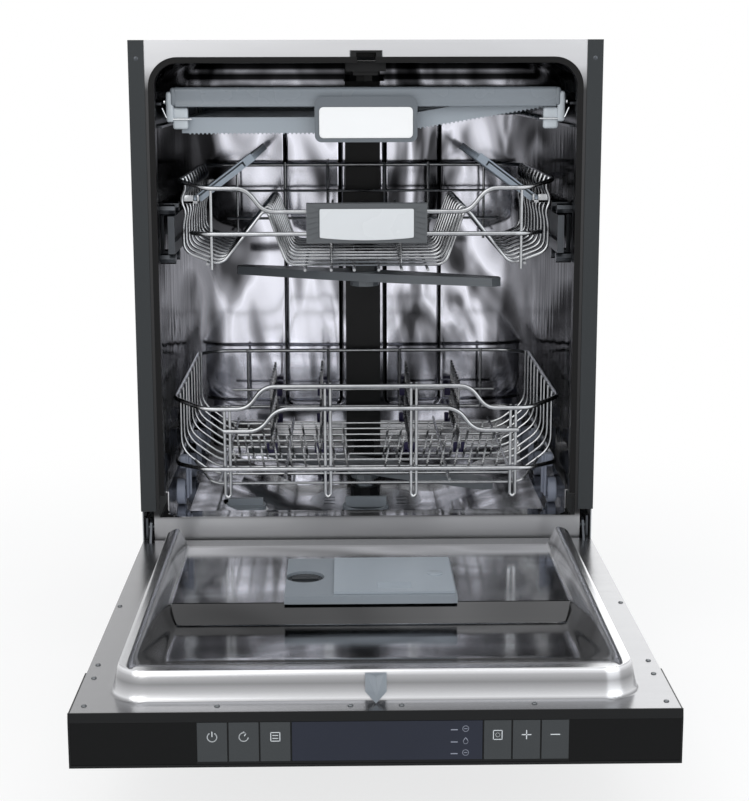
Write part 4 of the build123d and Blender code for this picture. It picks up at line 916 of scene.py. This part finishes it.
def sheet_metal(bm, front, rear, keep=None):
    """A closed sheet between two grids of points that have the same rows and columns."""
    made = {}

    def vert(side, key):
        if (side, key) not in made:
            grid = rear if side else front
            made[side, key] = bm.verts.new(grid[key[0]][key[1]])
        return made[side, key]

    rim = {}
    for i in range(len(front) - 1):
        for j in range(len(front[0]) - 1):
            if keep and not keep(i, j):
                continue
            loop = [(i, j), (i, j + 1), (i + 1, j + 1), (i + 1, j)]
            bm.faces.new([vert(0, key) for key in loop])
            bm.faces.new([vert(1, key) for key in reversed(loop)])
            for a, b in zip(loop, loop[1:] + loop[:1]):
                if (b, a) in rim:
                    del rim[b, a]
                else:
                    rim[a, b] = True
    for a, b in rim:
        bm.faces.new((vert(0, b), vert(0, a), vert(1, a), vert(1, b)))


def close_to(marks, reach, step, start, end, coarse):
    """Evenly spaced places from start to end, with finer ones near the marks."""
    places = [start]
    while places[-1] < end - 1e-6:
        here = places[-1]
        near = any(abs(here - mark) < reach for mark in marks)
        places.append(min(end, here + (step if near else coarse)))
    return places


def arch_profile(grow):
    """Points up the left side, over the top and down the right side."""
    half = tub_half + grow
    top = tub_top + grow
    corner = tub_corner + grow
    upright = 28
    turn = 10
    across = 22
    points = [(-half, tub_low_z + (top - corner - tub_low_z) * i / upright) for i in range(upright)]
    for i in range(turn + 1):
        angle = math.pi / 2 * i / turn
        points.append((-half + corner - corner * math.cos(angle), top - corner + corner * math.sin(angle)))
    points += [((-half + corner) * (1 - i / across), top) for i in range(1, across + 1)]
    return points + [(-x, z) for x, z in reversed(points[:-1])]


def side_rib(y, z):
    """Faint slanted beads pressed into the lower part of the side walls."""
    along = (z - tub_low_z) - (y - 60.0) * bead_rise
    phase = (along / bead_spacing) % 1.0
    bead = math.exp(-((phase - 0.5) / bead_share) ** 2)
    fade = smoothstep((y - 45.0) / 60.0) * smoothstep((455.0 - y) / 60.0)
    return bead_height * bead * fade * smoothstep((z - 240.0) / 30.0) * smoothstep((470.0 - z) / 60.0)


def tub_shell(bm):
    """The tub's sides and ceiling, with a notch in the ceiling's front edge for the latch."""
    steps = 44
    places = [tub_front_y]
    places += [latch_notch_end + (tub_back_y - latch_notch_end) * i / steps for i in range(steps + 1)]
    inner = arch_profile(0.0)
    outer = arch_profile(tub_sheet)

    def pressed(x, y, z):
        push = side_rib(y, z) if abs(x) > tub_half - 1 else 0.0
        return at(x - math.copysign(push, x), y, z)

    def keep(i, j):
        middle = (inner[j][0] + inner[j + 1][0]) / 2
        return i > 0 or inner[j][1] < tub_top - 1 or abs(middle) > latch_notch_half

    front = [[pressed(x, y, z) for x, z in inner] for y in places]
    rear = [[at(x, y, z) for x, z in outer] for y in places]
    sheet_metal(bm, front, rear, keep)


def outside_tub(x, y, z):
    """Whether a face centre lies on the outer side of the tub's sheet."""
    half_sheet = tub_sheet / 2
    x = abs(x)
    if y > tub_back_y + half_sheet or z > tub_top + half_sheet or x > tub_half + half_sheet:
        return True
    corner_x = tub_half - tub_corner
    corner_z = tub_top - tub_corner
    if y > tub_back_y - 1 or x < corner_x or z < corner_z:
        return False
    return math.hypot(x - corner_x, z - corner_z) > tub_corner + half_sheet * 0.8


# Faces on the tub's ceiling, which take their own steel with painted reflections
def on_ceiling(x, y, z):
    return z > tub_top - tub_corner * 0.4


def back_relief(x, z):
    """Two long raised panels beside the middle duct, each outlined by a narrow groove."""
    middle = (panel_inner + panel_outer) / 2
    edge = inside_rounded(abs(x) - middle, z, (panel_outer - panel_inner) / 2, panel_low, panel_high, 14.0)
    groove = math.exp(-(edge / 1.7) ** 2)
    return 2.0 * smoothstep(edge / 6.0) - 0.9 * groove


def tub_back_sheet(bm):
    """The tub's back, cut to the arch of the sides and ceiling, with a finer grid along the panels' edges."""
    corner = tub_corner + tub_sheet
    half = tub_half + tub_sheet
    top = tub_top + tub_sheet
    marks = [side * edge for side in both_sides for edge in (panel_inner, panel_outer)]
    columns = close_to(marks, 13.0, 1.2, -half, half, 5.0)
    rows = close_to([panel_low, panel_high], 16.0, 1.5, tub_low_z, top, 6.0)
    front = []
    rear = []
    for z in rows:
        climb = max(0.0, z - (top - corner))
        reach = half - corner + math.sqrt(max(0.0, corner ** 2 - climb ** 2))
        spots = [max(-reach, min(reach, x)) for x in columns]
        front.append([at(x, tub_back_y - back_relief(x, z), z) for x in spots])
        rear.append([at(x, tub_back_y + tub_sheet, z) for x in spots])
    sheet_metal(bm, front, rear)


# Door liner, with the notches for the hinge arms and the opening for the dispenser
flange_z = 168.0
flange_half = 296.0
liner_front_y = -617.0
liner_back_y = -8.0
liner_sheet = 0.8
rim_half = 265.0
rim_front_y = -593.0
rim_back_y = -40.0
rim_corner = 40.0
rim_height = 30.0
rim_run = 10.0
rim_inner_half = 243.0
recess_z = 150.0
recess_half = 226.0
recess_front_y = -429.0
recess_back_y = -304.0
slope_front_y = -565.0
platform_z = 170.0
platform_front_y = -284.0
arm_notch_inner = 282.0
arm_notch_outer = 291.0
arm_notch_y = -24.0
opening_half = 94.5
opening_front_y = -284.0
opening_back_y = -140.0


def door_height(x, y):
    """Height of the pressed liner: a raised rim, with the recess and its slopes cut down inside it."""
    edge = inside_rounded(x, y, rim_half, rim_front_y, rim_back_y, rim_corner)
    rim = flange_z + rim_height * smoothstep(edge / rim_run)
    rise = flange_z + rim_height - recess_z
    front_slope = recess_z + rise * (recess_front_y - y) / (recess_front_y - slope_front_y)
    side_slope = recess_z + rise * (abs(x) - recess_half) / (rim_inner_half - recess_half)
    rear_slope = min(recess_z + y - recess_back_y, platform_z)
    basin = soft_max(soft_max(recess_z, front_slope, 5.0), side_slope, 12.0)
    basin = soft_max(basin, rear_slope, 4.0)
    return soft_min(rim, basin, 2.5 + 7.0 * smoothstep((rim - 172.0) / 12.0))


def on_rear_slope(x, y, z):
    """Whether a face centre lies on the slope between the recess and the platform behind it, which takes a
    darker steel as painted shade.
    """
    return abs(x) < recess_half + 6 and recess_back_y - 1 < y < platform_front_y + 2


def in_recess(x, y, z):
    """Whether a face centre lies inside the liner's rim, below its top, where the steel carries painted
    reflections.
    """
    inside = inside_rounded(x, y, rim_half, rim_front_y, rim_back_y, rim_corner) > rim_run
    return inside and z < flange_z + rim_height - 5.0 and y < rim_back_y


def door_liner_sheet(bm):
    """The door's inner sheet, with a finer grid at the rim's corners."""
    sides = [side * (rim_half - rim_corner / 2) for side in both_sides]
    xs = close_to(sides, 23.0, 1.5, -flange_half, flange_half, 5.0)
    ends = [rim_front_y + rim_corner / 2, rim_back_y - rim_corner / 2, recess_back_y + 10]
    ys = close_to(ends, 23.0, 1.5, liner_front_y, liner_back_y, 5.0)
    top = [[at(x, y, door_height(x, y)) for x in xs] for y in ys]
    under = [[at(x, y, door_height(x, y) - liner_sheet) for x in xs] for y in ys]

    def keep(j, i):
        x = abs(xs[i] + xs[i + 1]) / 2
        y = (ys[j] + ys[j + 1]) / 2
        notch = y > arm_notch_y and arm_notch_inner < x < arm_notch_outer
        hole = x < opening_half and opening_front_y < y < opening_back_y
        return not (notch or hole)

    sheet_metal(bm, top, under, keep)


def striker_mesh(bm):
    """The striker's pointed wedge on the rim's front: two facets that meet in a valley, and sloping edges."""
    top = flange_z + rim_height
    half = 10.5
    shoulder_z = flange_z + 12
    point_z = flange_z + 0.7
    inner_half = half - 2.6
    inner_top = top - 1.5

    def vert(x, z, proud=0.0):
        share = (top - z) / (top - flange_z - 1)
        return bm.verts.new(at(x, rim_front_y - 0.8 - 6.9 * share - proud, z))

    outline = [(-half, top), (half, top), (half, shoulder_z), (0, point_z), (-half, shoulder_z)]
    rear = [bm.verts.new(at(x, rim_front_y, z)) for x, z in outline]
    front = [vert(x, z) for x, z in outline]
    low = vert(0, point_z + 7)
    left, right = [vert(x, shoulder_z + 1, 0.5) for x in (-2.6, 2.6)]
    top_left, top_right = [vert(x, inner_top, -0.1) for x in (-inner_half, inner_half)]
    valley = vert(0, inner_top, -2.4)
    for corners in ((front[0], top_left, left, front[4]), (front[4], left, low, front[3]),
                    (front[3], low, right, front[2]), (front[2], right, top_right, front[1]),
                    (top_left, valley, low, left), (valley, top_right, right, low),
                    (front[0], front[1], top_right, valley, top_left), rear[::-1]):
        bm.faces.new(corners)
    band(bm, front, rear)


# Screws
strip_screw_x = 289.0
strip_screw_z = 792.0


def screws(bm, places, axis, radius):
    """Low domed screw heads at the places on the right, and their mirror images."""
    profile = [(radius, 0), (radius, 0.5), (radius * 0.85, 1.0), (radius * 0.5, 1.3), (0, 1.35)]
    for place in places:
        lathe_pair(bm, profile, place, axis, 20)


def door_screws(bm):
    places = ((285, -599), (155, -602), (25, -603.5), (286.4, -522), (287.8, -483), (290.8, -286))
    screws(bm, [(x, y, flange_z) for x, y in places], (0, 0, 1), 2.8)


def strip_screws(bm):
    screws(bm, [(strip_screw_x, -0.6, strip_screw_z)], (0, -1, 0), 3.3)


def strip_washers(bm):
    profile = [(3.0, 0), (3.0, 0.7), (5.0, 0.7), (5.4, 0.3), (5.4, 0), (3.0, 0)]
    lathe_pair(bm, profile, (strip_screw_x, -0.4, strip_screw_z), (0, -1, 0))


# Dispenser
dispenser_top = 179.0
lid_top = 182.3
cap_centre = (-78.0, -211.0)
cap_radius = 22.0


def lid_details(bm):
    """The grip's five bars and the round catch on the detergent lid."""
    for i in range(5):
        y = -268.0 + i * 5.0
        soft_box(bm, 8, 48, y, y + 2.2, lid_top - 0.2, lid_top + 0.7, 0.4)
    lathe(bm, [(9.5, -0.2), (9.5, 0.9), (8.6, 1.4), (0, 1.4)], (78, -212, lid_top), (0, 0, 1), 36)


def rinse_cap_mesh(bm):
    """The rinse aid cap: a knurled disc with a raised grip across it."""
    x, y = cap_centre
    low = dispenser_top - 6.7
    high = dispenser_top - 3.0
    rise = high - low
    profile = [(0, 0), (cap_radius, 0), (cap_radius, rise - 0.8), (cap_radius - 0.8, rise),
               (cap_radius - 3.4, rise), (cap_radius - 4.2, rise - 0.9), (0, rise - 0.9)]
    lathe(bm, profile, (x, y, low), (0, 0, 1), 48)
    soft_box(bm, x - 16, x + 16, y - 2.6, y + 2.6, high - 1.2, dispenser_top - 0.5, 1.0, 3)
    knurls = 24
    knurl = 0.8
    out = cap_radius - 2.1
    for i in range(knurls):
        angle = 2 * math.pi * i / knurls
        kx = x + out * math.cos(angle)
        ky = y + out * math.sin(angle)
        soft_box(bm, kx - knurl, kx + knurl, ky - knurl, ky + knurl, high - 0.2, high + 0.6, 0.3, 1)


# Control strip: flat symbols of simple strokes, raised like print
face_y = -619.7
display_y = -619.5
print_depth = 0.1
icon_z = 143.0
facing_x = ((-296.0, -174.4), (187.7, 296.0))
facing_y = (-619.45, -619.15)
facing_z = (115.2, 158.4)


def stroke(bm, points, width, y):
    """A flat line of even width along points (x, z)."""
    for start, end in zip(points, points[1:]):
        a = Vector(start)
        b = Vector(end)
        along = (b - a).normalized() * width / 2
        across = Vector((-along.y, along.x))
        a = a - along * 0.5
        b = b + along * 0.5
        extrude_outline(bm, [a + across, b + across, b - across, a - across], y - print_depth, y)


def arc(radius, start, end, steps=18, centre=(0.0, 0.0)):
    cx, cz = centre
    angles = [math.radians(start) + math.radians(end - start) * i / steps for i in range(steps + 1)]
    return [(cx + radius * math.cos(angle), cz + radius * math.sin(angle)) for angle in angles]


def rectangle(half_x, half_z):
    corners = [(-half_x, -half_z), (half_x, -half_z), (half_x, half_z), (-half_x, half_z)]
    return corners + corners[:1]


def symbols():
    """Each button's symbol: its middle, the width of its strokes, and their points (x, z) from there."""
    radius = 4.4
    tip_x, tip_z = arc(radius, 60, 60, 1)[0]
    tip = [(tip_x - 2.6, tip_z + 1.4), (tip_x, tip_z), (tip_x - 1.4, tip_z - 2.6)]
    minus = [(-radius, 0), (radius, 0)]
    return {
        "power": (-159.1, 0.9, [arc(4.6, 125, 415), [(0, 0.6), (0, 5.6)]]),
        "cycle": (-128.5, 0.9, [arc(radius, 60, 350), tip]),
        "racks": (-97.9, 0.8, [rectangle(4.4, 4.4), [(-2.6, -1.6), (2.6, -1.6)], [(-2.6, 1.4), (2.6, 1.4)]]),
        "option": (117.7, 0.8, [rectangle(4.2, 4.6), arc(1.9, 0, 360)]),
        "plus": (145.7, 1.0, [minus, [(0, -radius), (0, radius)]]),
        "minus": (173.7, 1.0, [minus]),
    }


def symbol_mesh(x, width, strokes):
    """One button's symbol, with its middle at x."""
    def make(bm):
        for points in strokes:
            stroke(bm, [(x + u, icon_z + w) for u, w in points], width, face_y)
    return make


def display_marks(bm):
    """Three indicator dashes, each with a small round or drop-shaped symbol."""
    x = 86.6
    width = 0.6
    for row, z in enumerate((149.6, 137.0, 125.0)):
        stroke(bm, [(72.4, z - 1.0), (78.6, z - 1.0)], 0.9, display_y)
        if row == 1:
            peak = [(x, z + 3.6)]
            stroke(bm, peak + arc(2.3, 30, -210, 14, (x, z - 0.6)) + peak, width, display_y)
        else:
            stroke(bm, arc(2.9, 0, 360, 20, (x, z)), width, display_y)
            stroke(bm, [(x - 1.5, z), (x + 1.5, z)], width, display_y)


def fascia_panels(bm):
    """Glossy facing of the control strip, left and right of the buttons."""
    for x0, x1 in facing_x:
        soft_box(bm, x0, x1, *facing_y, *facing_z, 0.1, 1)


# The nodes that stay, by their look, each with the width of its rounded edges
finishes = {
    "tub_floor": {"tub_floor": 0.0},
    "frame": {"front_frame": 0.0},
    "seal": {"door_gasket": 1.2},
    "strip": {"side_strips": 0.4},
    "casing": {"outer_casing": 0.0},
    "base": {"base_tray": 1.0, "levelling_feet": 0.5},
    "concrete": {"counterweight": 1.5},
    "slide": {"hinge_brackets": 0.2, "hinge_springs": 0.0, "hinge_arms": 0.3, "wall_runners": 0.4,
              "upper_slides": 0.6},
    "grey": {"sump": 1.0, "filter_cup": 0.5, "salt_cap": 0.6, "dispenser_body": 1.0},
    "bright": {"filter_plate": 0.2},
    "black": {"circulation_pump": 1.0, "drain_pump": 1.0, "power_inlet": 0.6, "feed_duct": 1.0,
              "ceiling_duct": 1.0, "door_latch": 0.5},
    "white": {"water_softener": 1.0, "inlet_valve": 0.6},
    "arm": {"lower_spray_arm": 1.2, "upper_spray_arm": 1.2},
    "dark": {"upper_feed_tube": 1.2},
    "panel_steel": {"door_outer_panel": 0.0},
    "fascia": {"fascia": 0.4},
    "display": {"display_window": 0.3},
    "board": {"control_board": 0.0},
    "light": {"detergent_lid": 0.9, "tray_insert_left": 0.4, "tray_insert_right": 0.4},
    "handle": {"upper_handle": 1.0},
    "key": {f"button_{number}": 0.5 for number in range(1, 7)},
}


def dress(name, look, ease):
    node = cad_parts[name]
    for place in node.material_slots:
        place.material = looks[look]
    if not node.material_slots:
        node.data.materials.append(looks[look])
    if ease:
        soft = node.modifiers.new("soft_edges", "BEVEL")
        soft.width = ease * milli
        soft.segments = 2
        soft.limit_method = "ANGLE"
        soft.angle_limit = math.radians(40)
        soft.harden_normals = False


def make_pieces():
    new_piece("lower_basket_wires", lower_wires, "wire", "lower_rack", ["lower_basket"])
    new_piece("upper_basket_wires", upper_wires, "wire", "upper_rack", ["upper_basket"])
    for i in range(len(fold_x)):
        name = f"tine_row_{i + 1}"
        new_piece(name + "_wires", tine_wires(i), "tine", f"tines_{i + 1}", [name])
    new_piece("tub_shell", tub_shell, "tub", "cabinet", ["tub_wrap"],
              inlay=[("mat", outside_tub), ("ceiling", on_ceiling)])
    new_piece("tub_back_sheet", tub_back_sheet, "tub_back", "cabinet",
              inlay=[("mat", outside_tub)])
    new_piece("door_liner_sheet", door_liner_sheet, "door", "door", ["door_liner"],
              inlay=[("slope", on_rear_slope), ("recess", in_recess)])
    new_piece("tine_clips", clips_mesh, "navy", "lower_rack", ["rack_clips"])
    new_piece("wheel_carriers", carriers_mesh, "wheel", "lower_rack")
    for i, y in enumerate(wheel_places):
        name = f"lower_wheels_{i + 1}"
        new_piece(name + "_turned", wheel_mesh(y), "wheel", f"wheels_{i + 1}", [name])
    new_piece("door_screws", door_screws, "spring", "door")
    new_piece("strip_screws", strip_screws, "slide", "cabinet")
    new_piece("strip_washers", strip_washers, "black", "cabinet")
    new_piece("slide_caps", slide_caps, "wheel", "slides")
    for side, word, tilt in ((-1, "left", 0.0), (1, "right", insert_tilt)):
        new_piece(f"insert_teeth_{word}", insert_teeth(side, tilt), "light", f"insert_{word}",
                  smooth=False)
    new_piece("tray_bar_and_rails", tray_frame_mesh, "bar", "tray", ["tray_frame"])
    new_piece("tray_handle", tray_handle_mesh, "rail", "tray")
    new_piece("tray_handle_plate", tray_plate_mesh, "white", "tray")
    new_piece("tray_end_caps", tray_ends, "clear", "tray")
    new_piece("tray_pins", tray_pins, "bright", "tray")
    new_piece("upper_handle_facets", handle_facets, "handle", "upper_rack")
    new_piece("upper_handle_plate", upper_plate_mesh, "plate", "upper_rack")
    for side, word in ((-1, "left"), (1, "right")):
        new_piece(f"cup_shelf_{word}_comb", cup_shelf_mesh(side), "shelf", f"shelf_{word}",
                  [f"cup_shelf_{word}"])
    new_piece("striker", striker_mesh, "grey", "door", ["door_striker"], smooth=False)
    new_piece("rinse_aid_cap", rinse_cap_mesh, "dark", "rinse_dial", ["rinse_cap"])
    new_piece("fascia_panels", fascia_panels, "panel", "door")
    new_piece("lid_details", lid_details, "light", "lid")
    for i, symbol in enumerate(symbols().values()):
        new_piece(f"button_{i + 1}_symbol", symbol_mesh(*symbol), "icon", f"key_{i + 1}",
                  smooth=False)
    new_piece("display_marks", display_marks, "faint_icon", "door", smooth=False)


# Floor, world and lamps
floor_radius = 6.0


def seen_by(tree, *rays):
    """1 for rays of these kinds, and 0 for the rest."""
    path = tree.nodes.new("ShaderNodeLightPath")
    seen = path.outputs[rays[0]]
    for ray in rays[1:]:
        either = tree.nodes.new("ShaderNodeMath")
        either.operation = "MAXIMUM"
        tree.links.new(seen, either.inputs[0])
        tree.links.new(path.outputs[ray], either.inputs[1])
        seen = either.outputs["Value"]
    return seen


def mix_into(output, tree, amount, base, white):
    """Feeds the output with the base, and with white by the amount."""
    mix = tree.nodes.new("ShaderNodeMixShader")
    tree.links.new(amount, mix.inputs["Fac"])
    tree.links.new(base, mix.inputs[1])
    tree.links.new(white, mix.inputs[2])
    tree.links.new(mix.outputs["Shader"], output.inputs["Surface"])


def make_floor():
    """A pale round floor, which keeps the shadow and grows white away from the object."""
    surface = Surface("studio_floor")
    tree = surface.tree
    tone = surface.ramp(surface.noise(3.0, 2.0), [(0.3, (0.93, 0.93, 0.93)), (0.7, (0.95, 0.95, 0.95))])
    tree.links.new(tone, surface.shader.inputs["Base Color"])
    surface.shader.inputs["Roughness"].default_value = 0.7
    length = surface.add("ShaderNodeVectorMath", surface.place.outputs["Object"], 0)
    length.operation = "LENGTH"
    limits = {"From Min": 0.6, "From Max": 1.5, "To Min": 0.72}
    fade = surface.add("ShaderNodeMapRange", length.outputs["Value"], "Value", limits)
    fade.interpolation_type = "SMOOTHSTEP"
    amount = surface.add("ShaderNodeMath", fade.outputs["Result"], 0)
    amount.operation = "MULTIPLY"
    tree.links.new(seen_by(tree, "Is Camera Ray", "Is Glossy Ray"), amount.inputs[1])
    white = tree.nodes.new("ShaderNodeEmission")
    mix_into(tree.nodes["Material Output"], tree, amount.outputs["Value"], surface.shader.outputs["BSDF"],
             white.outputs["Emission"])
    mesh = bpy.data.meshes.new("studio_floor")
    bm = bmesh.new()
    bmesh.ops.create_circle(bm, cap_ends=True, segments=96, radius=floor_radius)
    bm.to_mesh(mesh)
    bm.free()
    mesh.materials.append(surface.material)
    floor = new_object("studio_floor", mesh)
    floor.location.z = cad_box[0][2] - 0.0005


def make_world():
    world = bpy.data.worlds.new("studio")
    bpy.context.scene.world = world
    world.use_nodes = True
    tree = world.node_tree
    soft = tree.nodes["Background"]
    soft.inputs["Color"].default_value = (0.94, 0.97, 1.0, 1)
    soft.inputs["Strength"].default_value = 0.5
    white = tree.nodes.new("ShaderNodeBackground")
    white.inputs["Color"].default_value = (1, 1, 1, 1)
    seen = seen_by(tree, "Is Camera Ray", "Is Glossy Ray", "Is Transmission Ray")
    mix_into(tree.nodes["World Output"], tree, seen, soft.outputs["Background"], white.outputs["Background"])


def make_lamp(name, place, target, size, power, colour=(1, 1, 1)):
    data = bpy.data.lights.new(name, "AREA")
    data.shape = "RECTANGLE"
    data.size, data.size_y = size
    data.energy = power
    data.color = colour
    lamp = new_object(name, data)
    lamp.location = place
    aim = Vector(target) - Vector(place)
    lamp.rotation_euler = aim.to_track_quat("-Z", "Y").to_euler()


def make_lamps():
    middle = (0.0, 0.2, 0.4)
    make_lamp("key_lamp", (-1.8, -3.0, 2.4), middle, (3.2, 3.0), 54.0, (1.0, 0.99, 0.97))
    make_lamp("fill_lamp", (2.4, -2.8, 1.7), middle, (3.0, 3.0), 35.0, (0.96, 0.98, 1.0))
    make_lamp("top_lamp", (0.0, -0.4, 3.2), (0.0, -0.2, 0.2), (3.2, 2.6), 35.0)
    make_lamp("rear_lamp", (1.0, 3.2, 2.2), middle, (3.0, 2.6), 28.0)


make_camera()
for look, nodes in finishes.items():
    for name, ease in nodes.items():
        dress(name, look, ease)
make_pieces()
make_floor()
make_world()
make_lamps()
bpy.context.scene.view_settings.view_transform = "Standard"
